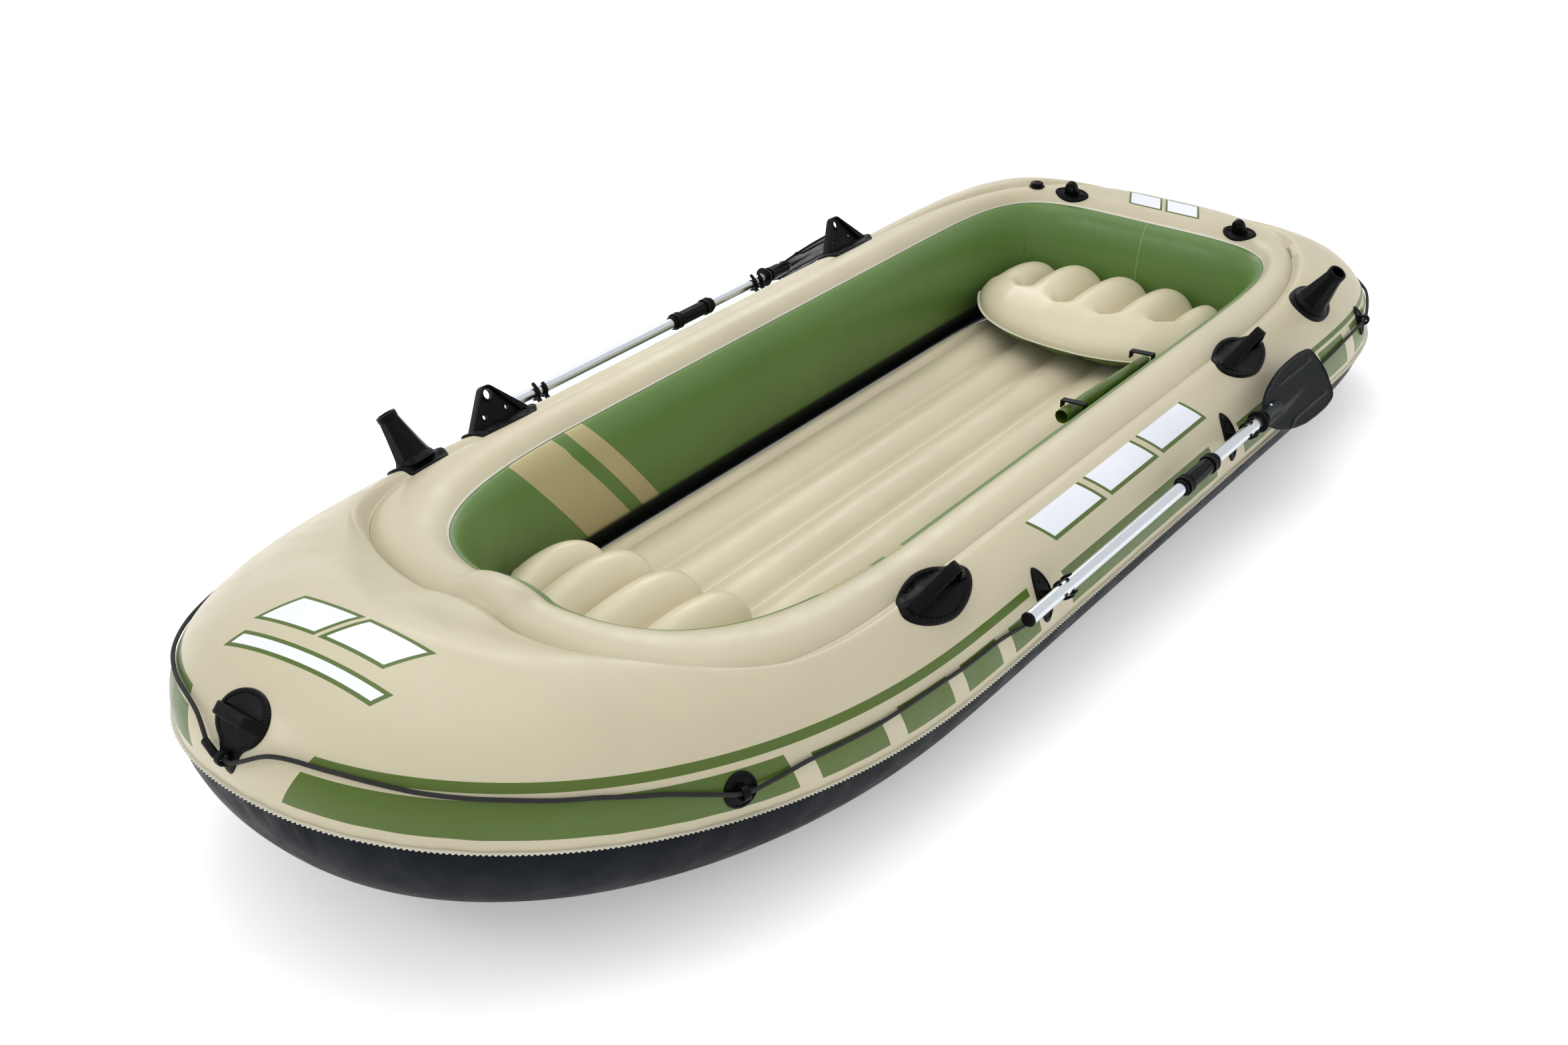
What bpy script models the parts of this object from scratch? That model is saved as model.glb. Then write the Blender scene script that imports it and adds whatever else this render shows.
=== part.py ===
"""Inflatable rowing boat with two oars: +X to the bow, +Y to port, +Z up, metres.

The origin is under the middle of the boat, on the surface that it rests on.
"""
import math

import bmesh
import bpy
from mathutils import Matrix, Vector, geometry
from mathutils.bvhtree import BVHTree

# ---- driving dimensions ----------------------------------------------------
GAP = 0.0003            # clearance between touching pieces
STATIONS = 28           # hull sections along one side, bow to stern

# closed plan curves: (half width, stern x, bow x, stern length, bow length, stern power, bow power)
HULL_PLAN = (0.709, -1.75, 1.75, 0.75, 1.20, 3.68, 2.19)
VALLEY_PLAN = (0.561, -1.636, 1.205, 0.90, 0.53, 2.8, 2.94)
EDGE_PLAN = (0.451, -1.445, 1.092, 0.66, 0.70, 5.0, 2.8)
FLOOR_PLAN = (0.436, -1.428, 1.074, 0.64, 0.69, 4.8, 2.8)
MAT_PLAN = (0.394, -1.385, 1.025, 0.55, 0.66, 4.4, 2.8)

TUBE_REACH = 0.226      # breadth of the hull tube's quarter, widest line to crest
TUBE_LOW = 0.202        # widest line above the keel line, amidships
TUBE_UP = 0.202         # crest above the widest line, amidships
BOW_FROM = 0.393        # the bow starts to rise here
BOW_LIFT = 0.087        # rise of the bow's underside at the nose
BOW_DEEPER = 0.109      # extra depth below the widest line at the nose
BOW_FLATTER = -0.030    # change of the crest height over the widest line at the nose
BOW_REACH = 0.040       # extra reach of the tube's quarter at the nose
SEAM_ANGLE = -0.088     # seam, as an angle below the widest line
VALLEY_Z = 0.380
VALLEY_RISE = 0.075
EDGE_Z = 0.373
EDGE_RISE = 0.070
INNER_CROWN = 0.026     # crown of the inner chamber over its two welds
WALL_BULGE = 0.050      # how far the inner wall stands into the cockpit
WALL_POWER = 2.5        # fullness of the inner wall's round
WALL_FOOT_Z = 0.022
SEAM_THICK = 0.0042     # room for the flange between the two wraps
SEAM_SLACK = 0.0010
SEAM_PROUD = 0.009
NOSE_SPREAD = 0.20      # sections round the nose reach the valley at this share of their width

FLOOR_Z = 0.0135        # bottom sheet's middle
FLOOR_THICK = 0.0020
MAT_BASE_Z = 0.016
MAT_SEAM_Z = 0.045
MAT_WELD_Z = 0.077
MAT_TOP_Z = 0.098
MAT_CHANNEL = 0.1325    # distance between weld lines

BACK_CUSHION = (0.368, 0.455, 0.34)     # half width, depth, rounding of its front
FRONT_CUSHION = (0.345, 0.420, 0.45)
CUSHION_SEAM_Z = 0.170
CUSHION_UP = 0.082
CUSHION_DOWN = 0.068
FRONT_CUSHION_X = 0.605
BACK_CUSHION_X = -1.385

PAD_LIFT = 0.0044       # a patch's underside over the faceted skin
PAD_IN = 0.0058         # depth inside a patch where upright shapes end
OARLOCK_FORE_X = 0.568
OARLOCK_AFT_X = -0.780
OARLOCK_IN = 0.106      # distance in from the widest line
OARLOCK_HALF = 0.088
OARLOCK_HIGH = 0.090
OARLOCK_STRAP = 0.026
ROD_FORE_X = 0.837
ROD_AFT_X = -1.186
ROD_IN = 0.100
ROD_HIGH = 0.115
ROD_LEAN = 0.10
MOTOR_OFF = 0.309
MOTOR_IN = 0.272
VALVE_OFF = -0.518
VALVE_IN = 0.263
ROPE_GUIDE_X = 1.186
ROPE_GUIDE_IN = 0.004
ROPE_EYE_X = -1.372
ROPE_EYE_IN = 0.014
HANDLE_IN = 0.042

OAR_Y = 0.745
OAR_Z = 0.311
OAR_GRIP_X = 0.452
SHAFT_R = 0.0145
SHAFT_WALL = 0.0014
SLEEVE_FORE = -0.189
SLEEVE_AFT = -0.352
SLEEVE_R = 0.0185
COLLAR_R = 0.0225
COLLAR_BORE = 0.0194    # turns freely round the sleeve
COLLAR_LONG = 0.022
DRIP_X = -0.583
SOCKET_X = -0.606
SOCKET_LONG = 0.090
SOCKET_R = 0.0190
SHAFT_END_X = -0.670
BLADE_OUTLINE = ((0.000, 0.018), (0.020, 0.033), (0.040, 0.045), (0.065, 0.055), (0.105, 0.066),
                 (0.150, 0.074), (0.205, 0.077), (0.260, 0.077), (0.305, 0.071), (0.322, 0.061),
                 (0.330, 0.045), (0.334, 0.018))      # distance from the root, half width
BLADE_OFF = 0.007       # blade's middle from the shaft's, down its face
BLADE_DISH = 0.006
BLADE_TILT = 0.94       # blade's face from straight up, towards the outside
BUTTON_R = 0.0038
BUTTON_TRAVEL = 0.004
CLASP_FORE_X = 0.310
CLASP_AFT_X = -0.542
CLASP_IN = 0.014
CLASP_TILT = 0.70

POUCH_LONG = 0.420
POUCH_FORE_X = -0.310
POUCH_Y = 0.380
POUCH_TOP_Z = 0.345

ROPE_R = 0.004
ROPE_OFF = 0.0144       # line's middle over the skin
ROPE_ROUTE = ((1.742, 24.0, 1), (1.712, 26.0, 3), (1.588, 23.0, 3), (1.416, 21.3, 2),
              (1.314, 18.0, 2), (1.186, 10.5, 3), (0.983, 15.8, 3), (0.708, 18.3, 2),
              (0.479, 17.0, 1), (0.380, 14.0, 2), (-0.610, 14.0, 1), (-0.900, 17.5, 4),
              (-1.372, 20.0, 4), (-1.580, 22.0, 6))     # outline's x, degrees up from it, steps
ROPE_STERN = 24.0

PARTS = None
TOOLS = None


def clear_scene():
    for obj in list(bpy.data.objects):
        bpy.data.objects.remove(obj, do_unlink=True)


# ---- plan curves and hull sections -----------------------------------------
def plan_half(plan, count):
    """Points of the port half of a plan curve, bow to stern, evenly spaced on each stretch."""
    half, stern, bow, stern_len, bow_len, stern_pow, bow_pow = plan
    fine = 240
    bow_arc = []
    stern_arc = []
    for i in range(fine + 1):
        angle = 0.5 * math.pi * i / fine
        c, s = max(math.cos(angle), 0.0), math.sin(angle)
        bow_arc.append((bow - bow_len + bow_len * c ** (2 / bow_pow), half * s ** (2 / bow_pow)))
        stern_arc.append((stern + stern_len - stern_len * c ** (2 / stern_pow),
                          half * s ** (2 / stern_pow)))
    stern_arc.reverse()
    n_bow = round(0.42 * count)
    n_stern = round(0.34 * count)
    n_side = count - n_bow - n_stern
    points = even(bow_arc, n_bow)
    a, b = bow_arc[-1], stern_arc[0]
    points += [(a[0] + (b[0] - a[0]) * i / n_side, half) for i in range(1, n_side)]
    points += even(stern_arc, n_stern)
    return points


def even(path, count):
    """count + 1 points at equal distances along a path."""
    reach = [0.0]
    for (ax, ay), (bx, by) in zip(path, path[1:]):
        reach.append(reach[-1] + math.hypot(bx - ax, by - ay))
    out = []
    j = 0
    for i in range(count + 1):
        want = reach[-1] * i / count
        while j < len(path) - 2 and reach[j + 1] < want:
            j += 1
        t = (want - reach[j]) / max(reach[j + 1] - reach[j], 1e-9)
        out.append((path[j][0] + t * (path[j + 1][0] - path[j][0]),
                    path[j][1] + t * (path[j + 1][1] - path[j][1])))
    return out


def plan_ring(plan, count=STATIONS):
    """The whole closed curve: port half, then its mirror image on the starboard side."""
    half = plan_half(plan, count)
    return half + [(x, -y) for x, y in reversed(half[1:-1])]


def bow_share(x):
    return min(max((x - BOW_FROM) / (HULL_PLAN[2] - BOW_FROM), 0.0), 1.0) ** 2


def crossing(origin, direction, curve):
    """Distance from origin along direction to the nearest side of a closed plan curve."""
    best = None
    for (ax, ay), (bx, by) in zip(curve, curve[1:] + curve[:1]):
        ex, ey = bx - ax, by - ay
        det = ex * direction.y - ey * direction.x
        if abs(det) < 1e-12:
            continue
        t = (ex * (ay - origin.y) - ey * (ax - origin.x)) / det
        s = (direction.x * (ay - origin.y) - direction.y * (ax - origin.x)) / det
        if t > 0 and -1e-9 <= s <= 1 + 1e-9 and (best is None or t < best):
            best = t
    return best


def nearest(point, curve):
    """The point of a closed plan curve nearest to a point."""
    best = None
    for (ax, ay), (bx, by) in zip(curve, curve[1:] + curve[:1]):
        a = Vector((ax, ay, 0))
        way = Vector((bx, by, 0)) - a
        t = min(max((point - a).dot(way) / max(way.length_squared, 1e-12), 0), 1)
        spot = a + way * t
        if best is None or (spot - point).length < (best - point).length:
            best = spot
    return best


class Section:
    """One cut through the hull: heights over the distance d in from the widest line."""

    def __init__(self, before, outer, after, valley_curve, edge_curve):
        self.origin = Vector((outer[0], outer[1], 0))
        along = Vector((after[0] - before[0], after[1] - before[1], 0)).normalized()
        self.inward = Vector((-along.y, along.x, 0))
        self.valley = crossing(self.origin, self.inward, valley_curve)
        hit = self.origin + self.inward * self.valley
        if abs(hit.y) < NOSE_SPREAD * abs(outer[1]) and hit.x > 0:
            aim = Vector((hit.x, NOSE_SPREAD * outer[1], 0))
            self.inward = (aim - self.origin).normalized()
            self.valley = crossing(self.origin, self.inward, valley_curve)
        self.turn = self.origin + self.inward * self.valley
        foot = nearest(self.turn, edge_curve)
        self.edge = self.valley + (foot - self.turn).length
        self.deeper = (foot - self.turn).normalized()
        self.share = bow_share(outer[0])
        self.reach = TUBE_REACH + BOW_REACH * self.share
        self.low = TUBE_LOW + BOW_DEEPER * self.share
        self.up = TUBE_UP + BOW_FLATTER * self.share
        self.mid = self.low + BOW_LIFT * self.share
        self.valley_z = VALLEY_Z + VALLEY_RISE * self.share
        self.edge_z = EDGE_Z + EDGE_RISE * self.share

    def at(self, d, z):
        """The point at a height, d in from the outline; past the valley the way in turns."""
        point = self.origin + self.inward * d
        if d > self.valley:
            point = self.turn + self.deeper * (d - self.valley)
        return Vector((point.x, point.y, z))

    def seam(self):
        return (self.reach * (1 - math.cos(SEAM_ANGLE)), self.mid + self.low * math.sin(SEAM_ANGLE))

    def top(self, d):
        """Height of the outer chamber's skin, with the groove where it meets the valley weld."""
        if d < self.reach:
            crown = self.mid + self.up * math.sqrt(max(1 - (1 - d / self.reach) ** 2, 0))
        else:
            t = (d - self.reach) / max(self.valley - self.reach, 1e-6)
            crown = self.mid + self.up
            crown -= (crown - self.valley_z - 0.014) * (0.5 - 0.5 * math.cos(math.pi * min(t, 1)))
        if self.valley < self.reach:
            rim = self.mid + self.up * math.sqrt(1 - (1 - self.valley / self.reach) ** 2)
        else:
            rim = self.valley_z + 0.014
        return crown - (rim - self.valley_z) * math.exp(-((self.valley - d) / 0.016) ** 2)

    def bottom(self, d):
        t = min(d / self.reach, 1)
        return self.mid - self.low * math.sqrt(max(1 - (1 - t) ** 2, 0))

    def crown(self, d):
        """Height of the inner chamber's skin between its two welds."""
        s = (d - self.valley) / (self.edge - self.valley)
        bulge = INNER_CROWN * (1 - abs(2 * s - 1) ** 2.6)
        return self.valley_z + (self.edge_z - self.valley_z) * s + bulge

    def skin(self, d):
        """Point and outward normal on the top of the hull."""
        height = self.top if d < self.valley else self.crown
        slope = (height(d + 0.002) - height(d - 0.002)) / 0.004
        way = self.inward if d < self.valley else self.deeper
        normal = (Vector((0, 0, 1)) - way * slope).normalized()
        return self.at(d, height(d)), normal

    def lower_profile(self):
        seam_z = self.seam()[1]
        seam_z -= SEAM_THICK / 2 + GAP
        start = math.asin((seam_z - self.mid) / self.low)
        edge = self.valley - GAP / 2
        stop = -math.acos(max(1 - edge / self.reach, 0.0)) if edge < self.reach else -math.pi / 2
        points = []
        for i in range(8):
            angle = start + (stop - start) * i / 7
            points.append((self.reach * (1 - math.cos(angle)), self.mid + self.low * math.sin(angle)))
        points.append((edge, points[-1][1] + 0.0001))
        points.append((edge, seam_z))
        return points

    def upper_profile(self):
        seam_z = self.seam()[1]
        seam_z += SEAM_THICK / 2 + GAP
        start = math.asin((seam_z - self.mid) / self.low)
        edge = self.valley - GAP / 2
        last = edge - 0.034
        stop = math.acos(1 - last / self.reach) if last < self.reach else math.pi / 2
        points = []
        for i in range(9):
            angle = start + (stop - start) * i / 8
            size = self.low if angle < 0 else self.up
            points.append((self.reach * (1 - math.cos(angle)), self.mid + size * math.sin(angle)))
        begin = points[-1][0]
        for share in (0.35, 0.7):
            room = last > begin + 0.02
            d = begin + ((last - begin) * share if room else 0.004 * (1 + share))
            points.append((d, self.top(d)))
        for back in (0.022, 0.013, 0.006, 0.0):
            points.append((edge - back, self.top(edge - back)))
        points.append((edge, seam_z))
        return points

    def inner_profile(self):
        start = self.valley + GAP / 2
        points = []
        for i in range(9):
            d = start + (self.edge - start) * i / 8
            points.append((d, self.crown(d)))
        middle = 0.5 * (self.edge_z + WALL_FOOT_Z)
        size = self.edge_z - middle
        for i in range(1, 11):
            angle = 0.5 * math.pi - math.pi * i / 10
            s, c = math.sin(angle), max(math.cos(angle), 0)
            rise = math.copysign(abs(s) ** (2 / WALL_POWER), s)
            points.append((self.edge + WALL_BULGE * c ** (2 / WALL_POWER), middle + size * rise))
        for i in (2, 1, 0):
            d = start + (self.edge - start) * i / 3
            points.append((d, self.keel(d)))
        return points

    def keel(self, d):
        """Underside of the inner chamber, from the valley line to the foot of the inner wall."""
        if self.valley < self.reach and d < self.reach:
            return self.bottom(d)
        if self.valley < self.reach:
            return WALL_FOOT_Z * ((d - self.reach) / (self.edge - self.reach)) ** 2
        t = (d - self.valley) / (self.edge - self.valley)
        low = self.bottom(self.reach)
        return low + (WALL_FOOT_Z - low) * t * t * (3 - 2 * t)

    def flange_profile(self):
        seam_d, seam_z = self.seam()
        outside, inside = seam_d - SEAM_PROUD, seam_d + 0.02
        half = SEAM_THICK / 2 - SEAM_SLACK
        return [(outside, seam_z - half), (outside, seam_z + half),
                (inside, seam_z + half), (inside, seam_z - half)]


# ---- building helpers ------------------------------------------------------
def add_part(name, mesh, colour, roughness, metallic=0.0, smooth=True):
    material = bpy.data.materials.new(name)
    material.use_nodes = True
    shader = material.node_tree.nodes["Principled BSDF"]
    shader.inputs["Base Color"].default_value = (*colour, 1)
    shader.inputs["Roughness"].default_value = roughness
    shader.inputs["Metallic"].default_value = metallic
    mesh.materials.append(material)
    if smooth:
        mesh.shade_smooth()
    obj = bpy.data.objects.new(name, mesh)
    PARTS.objects.link(obj)
    return obj


def ring_mesh(name, sections, profile):
    """A closed ring lofted through one profile in each hull section, every panel split one way."""
    bm = bmesh.new()
    rows = [[bm.verts.new(q.at(d, z)) for d, z in profile(q)] for q in sections]
    for row, following in zip(rows, rows[1:] + rows[:1]):
        for i in range(len(row)):
            j = (i + 1) % len(row)
            bm.faces.new((row[i], row[j], following[j]))
            bm.faces.new((row[i], following[j], following[i]))
    bmesh.ops.recalc_face_normals(bm, faces=bm.faces)
    mesh = bpy.data.meshes.new(name)
    bm.to_mesh(mesh)
    bm.free()
    return mesh


def loop_mesh(name, loops, thickness):
    """A flat plate with holes: outlines in its XY plane, thickness centred on Z = 0."""
    curve = bpy.data.curves.new(name, "CURVE")
    curve.dimensions = "2D"
    curve.fill_mode = "BOTH"
    curve.extrude = thickness / 2
    for loop in loops:
        spline = curve.splines.new("POLY")
        spline.points.add(len(loop) - 1)
        for point, (x, y) in zip(spline.points, loop):
            point.co = (x, y, 0, 1)
        spline.use_cyclic_u = True
    obj = bpy.data.objects.new(name, curve)
    return curve_to_mesh(name, obj)


def curve_to_mesh(name, obj):
    """The welded mesh of a curve object, which is then removed."""
    PARTS.objects.link(obj)
    bpy.context.view_layer.update()
    evaluated = obj.evaluated_get(bpy.context.evaluated_depsgraph_get())
    mesh = bpy.data.meshes.new_from_object(evaluated)
    mesh.name = name
    bpy.data.objects.remove(obj, do_unlink=True)
    bm = bmesh.new()
    bm.from_mesh(mesh)
    bmesh.ops.remove_doubles(bm, verts=bm.verts, dist=0.00001)
    bmesh.ops.recalc_face_normals(bm, faces=bm.faces)
    bm.to_mesh(mesh)
    bm.free()
    return mesh


def tube_mesh(name, points, radius, resolution=2):
    """A round bar with closed ends along a list of points."""
    curve = bpy.data.curves.new(name, "CURVE")
    curve.dimensions = "3D"
    curve.bevel_depth = radius
    curve.bevel_resolution = resolution
    curve.use_fill_caps = True
    spline = curve.splines.new("POLY")
    spline.points.add(len(points) - 1)
    for point, where in zip(spline.points, points):
        point.co = (*where, 1)
    return curve_to_mesh(name, bpy.data.objects.new(name, curve))


def turned(name, loop, steps, colour, roughness, metallic=0.0):
    """A closed profile of (radius, height) points turned round local Z, outer side running down."""
    mesh = bpy.data.meshes.new(name)
    count = len(loop)
    solid = loop[0][0] == 0
    edges = [(i, (i + 1) % count) for i in range(count - 1 if solid else count)]
    mesh.from_pydata([(r, 0, z) for r, z in loop], edges, [])
    obj = add_part(name, mesh, colour, roughness, metallic)
    screw = obj.modifiers.new("turn", "SCREW")
    screw.axis = "Z"
    screw.steps = steps
    screw.render_steps = steps
    screw.use_merge_vertices = True
    screw.merge_threshold = 0.0001
    return obj


def tool_object(name, mesh, matrix):
    """A shape that is joined to or cut from a part, and isn't a part itself."""
    obj = bpy.data.objects.new(name, mesh)
    obj.matrix_world = matrix
    obj.hide_render = True
    obj.display_type = "WIRE"
    TOOLS.objects.link(obj)
    return obj


def boolean(part, tool, operation):
    modifier = part.modifiers.new(operation.lower(), "BOOLEAN")
    modifier.operation = operation
    modifier.object = tool
    modifier.solver = "EXACT"


def cylinder_mesh(name, radius, length, segments=20, tip_radius=None):
    bm = bmesh.new()
    tip = radius if tip_radius is None else tip_radius
    bmesh.ops.create_cone(bm, cap_ends=True, segments=segments, radius1=radius, radius2=tip,
                          depth=length)
    mesh = bpy.data.meshes.new(name)
    bm.to_mesh(mesh)
    bm.free()
    return mesh


def basis(origin, x_axis, z_axis):
    """A placement from its origin, its Z axis and the rough direction of its X axis."""
    z = Vector(z_axis).normalized()
    y = z.cross(Vector(x_axis)).normalized()
    x = y.cross(z)
    matrix = Matrix((x, y, z)).transposed().to_4x4()
    matrix.translation = origin
    return matrix


def circle(x, y, radius, count=16, start=0.0, sweep=2 * math.pi):
    steps = count if sweep > 6.28 else count - 1
    return [(x + radius * math.cos(start + sweep * i / steps),
             y + radius * math.sin(start + sweep * i / steps)) for i in range(count)]


def rounded(points):
    """The outline stretched round a set of circles, given as (x, y, radius)."""
    cloud = [Vector(p) for x, y, r in points for p in circle(x, y, r, 12)]
    return [tuple(cloud[i]) for i in geometry.convex_hull_2d(cloud)]


# ---- places on the hull ----------------------------------------------------
class Hull:
    """Finds sections, skin places and the skin itself."""

    def __init__(self):
        self.valley_curve = plan_ring(VALLEY_PLAN, 120)
        self.edge_curve = plan_ring(EDGE_PLAN, 120)
        self.outline = plan_ring(HULL_PLAN, 400)
        self.tree = None

    def sections(self, count=STATIONS):
        outer = plan_ring(HULL_PLAN, count)
        neighbours = zip(outer[-1:] + outer[:-1], outer, outer[1:] + outer[:1])
        return [Section(*three, self.valley_curve, self.edge_curve) for three in neighbours]

    def section_near(self, x, side=1, off_centre=None):
        """The section whose widest point is nearest to x, or to off_centre across the stern."""
        ring = self.outline
        count = len(ring)

        def miss(i):
            px, py = ring[i]
            if off_centre is None:
                return abs(px - x) + (9 if py * side < 0 else 0)
            return abs(py - off_centre) + (9 if (px - x) * x < -0.9 * abs(x) else 0)

        best = min(range(count), key=miss)
        return Section(ring[best - 1], ring[best], ring[(best + 1) % count],
                       self.valley_curve, self.edge_curve)

    def place(self, section, d):
        """Placement on the skin: X along the hull, Y across it, Z outwards."""
        point, normal = section.skin(d)
        along = Vector((-section.inward.y, section.inward.x, 0))
        if along.x < 0:
            along = -along
        return basis(point, along, normal)

    def learn_skin(self, names):
        bm = bmesh.new()
        for name in names:
            bm.from_mesh(bpy.data.objects[name].data)
        self.tree = BVHTree.FromBMesh(bm)
        bm.free()

    def drop(self, matrix, x, y):
        """The skin under a point of a placement's XY plane, as a height over that plane."""
        start = matrix @ Vector((x, y, 0.08))
        down = -matrix.col[2].to_3d()
        hit = self.tree.ray_cast(start, down, 0.3)
        return 0.08 - hit[3] if hit[0] is not None else 0.0


def pad_mesh(name, hull, matrix, radius_at, thick, rim, segments=20, rings=3):
    """A moulded patch that lies on the skin, thick in the middle and rim thick at its edge."""
    bm = bmesh.new()
    middle = hull.drop(matrix, 0, 0) + PAD_LIFT
    under = [[bm.verts.new((0, 0, middle))]]
    over = [[bm.verts.new((0, 0, middle + thick))]]
    for k in range(1, rings + 1):
        share = k / rings
        low_row, high_row = [], []
        for i in range(segments):
            angle = 2 * math.pi * i / segments
            r = radius_at(angle) * share
            x, y = r * math.cos(angle), r * math.sin(angle)
            base = hull.drop(matrix, x, y) + PAD_LIFT
            height = thick if k < rings else rim
            low_row.append(bm.verts.new((x, y, base)))
            high_row.append(bm.verts.new((x, y, base + height)))
        under.append(low_row)
        over.append(high_row)
    for rows in (under, over):
        for k in range(1, rings + 1):
            for i in range(segments):
                j = (i + 1) % segments
                if k == 1:
                    bm.faces.new((rows[0][0], rows[1][i], rows[1][j]))
                else:
                    bm.faces.new((rows[k - 1][i], rows[k][i], rows[k][j], rows[k - 1][j]))
    for i in range(segments):
        j = (i + 1) % segments
        bm.faces.new((under[-1][i], under[-1][j], over[-1][j], over[-1][i]))
    bmesh.ops.recalc_face_normals(bm, faces=bm.faces)
    mesh = bpy.data.meshes.new(name)
    bm.to_mesh(mesh)
    bm.free()
    return mesh


def oval(long, short, power=2.0):
    """Radius of an oval, superellipse or pointed eye at an angle."""
    def radius(angle):
        c, s = abs(math.cos(angle)) / long, abs(math.sin(angle)) / short
        return (c ** power + s ** power) ** (-1 / power)
    return radius


def fitting(name, hull, matrix, radius_at, thick, rim, extras, colour=None):
    """A moulded fitting: its pad, with other shapes joined to it or cut from it."""
    pad = add_part(name, pad_mesh(name, hull, matrix, radius_at, thick, rim),
                   colour or BLACK, 0.42)
    pad.matrix_world = matrix
    for index, (mesh, local, operation) in enumerate(extras):
        tool = tool_object(f"{name}_shape_{index}", mesh, matrix @ local)
        boolean(pad, tool, operation)
    return pad


UPRIGHT = Matrix.Rotation(math.pi / 2, 4, "X")              # a plate's XY to the fitting's XZ
ACROSS = Matrix.Rotation(math.pi / 2, 4, "Z") @ UPRIGHT     # and to the fitting's YZ


def stood(outline, level=PAD_IN):
    """The part of a convex outline that is above a level."""
    kept = []
    for (ax, ay), (bx, by) in zip(outline, outline[1:] + outline[:1]):
        if ay >= level:
            kept.append((ax, ay))
        if (ay - level) * (by - level) < 0:
            kept.append((ax + (bx - ax) * (level - ay) / (by - ay), level))
    return kept


def arch_mesh(name, reach, hole, width):
    """A rope eye: an upright loop with a round hole, standing on its pad."""
    outer = stood(rounded([(0, ROPE_OFF, reach), (-reach, 0, 0.001), (reach, 0, 0.001)]))
    inner = circle(0, ROPE_OFF, hole, 10)
    return loop_mesh(name, [outer, inner], width)


def oarlock(name, hull, x, side):
    section = hull.section_near(x, side)
    matrix = hull.place(section, OARLOCK_IN)
    half, high, top = OARLOCK_HALF, OARLOCK_HIGH, 0.021
    outer = stood(rounded([(0, high - top, top), (-half, 0, 0.002), (half, 0, 0.002)]))
    inner = stood(rounded([(0, high - top, top - 0.005), (-half + 0.022, 0, 0.001),
                           (half - 0.022, 0, 0.001)]), PAD_IN + 0.0028)
    big = circle(0, high - top, 0.0125, 14)
    small = [circle(offset, 0.024, 0.0065, 8) for offset in (-0.034, 0.034)]
    web = stood(rounded([(0, high - top, top - 0.003), (-half + 0.01, 0, 0.002),
                         (half - 0.013, 0, 0.002)]), PAD_IN + 0.0013)
    strap = loop_mesh(name + "_strap", [outer, inner], OARLOCK_STRAP)
    plate = loop_mesh(name + "_web", [web, big] + small, 0.007)
    return fitting(name, hull, matrix, oval(0.112, 0.060, 1.7), 0.005, 0.0035,
                   [(strap, UPRIGHT, "UNION"), (plate, UPRIGHT, "UNION")])


def rod_holder(name, hull, x, side):
    section = hull.section_near(x, side)
    matrix = hull.place(section, ROD_IN)
    lean = Matrix.Rotation(ROD_LEAN, 4, "Y")
    body = cylinder_mesh(name + "_cone", 0.037, ROD_HIGH, 24, 0.0235)
    bore = cylinder_mesh(name + "_bore", 0.0175, ROD_HIGH, 20)
    up = Matrix.Translation((0, 0, ROD_HIGH / 2 + 0.0088))
    deep = Matrix.Translation((0, 0, ROD_HIGH / 2 + 0.020))
    return fitting(name, hull, matrix, oval(0.074, 0.054, 2.2), 0.009, 0.0035,
                   [(body, lean @ up, "UNION"), (bore, lean @ deep, "DIFFERENCE")])


def motor_mount(name, hull, side):
    section = hull.section_near(-1.75, side, MOTOR_OFF * side)
    matrix = hull.place(section, MOTOR_IN)
    outer = stood(rounded([(0, 0.027, 0.0175), (-0.0175, 0, 0.001), (0.0175, 0, 0.001)]))
    lug = loop_mesh(name + "_lug", [outer, circle(0, 0.027, 0.0095, 12)], 0.018)
    return fitting(name, hull, matrix, oval(0.050, 0.030, 1.8), 0.005, 0.003,
                   [(lug, UPRIGHT, "UNION")])


def rope_guide(name, hull, x, side):
    section = hull.section_near(x, side)
    matrix = hull.place(section, ROPE_GUIDE_IN)
    loop = arch_mesh(name + "_loop", 0.0135, 0.0072, 0.014)
    return fitting(name, hull, matrix, oval(0.034, 0.034), 0.0045, 0.003,
                   [(loop, ACROSS, "UNION")])


def rope_eye(name, hull, x, side):
    section = hull.section_near(x, side)
    matrix = hull.place(section, ROPE_EYE_IN)
    loop = arch_mesh(name + "_loop", 0.0135, 0.0072, 0.012)
    return fitting(name, hull, matrix, oval(0.022, 0.040, 1.6), 0.0045, 0.003,
                   [(loop, ACROSS, "UNION")])


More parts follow.
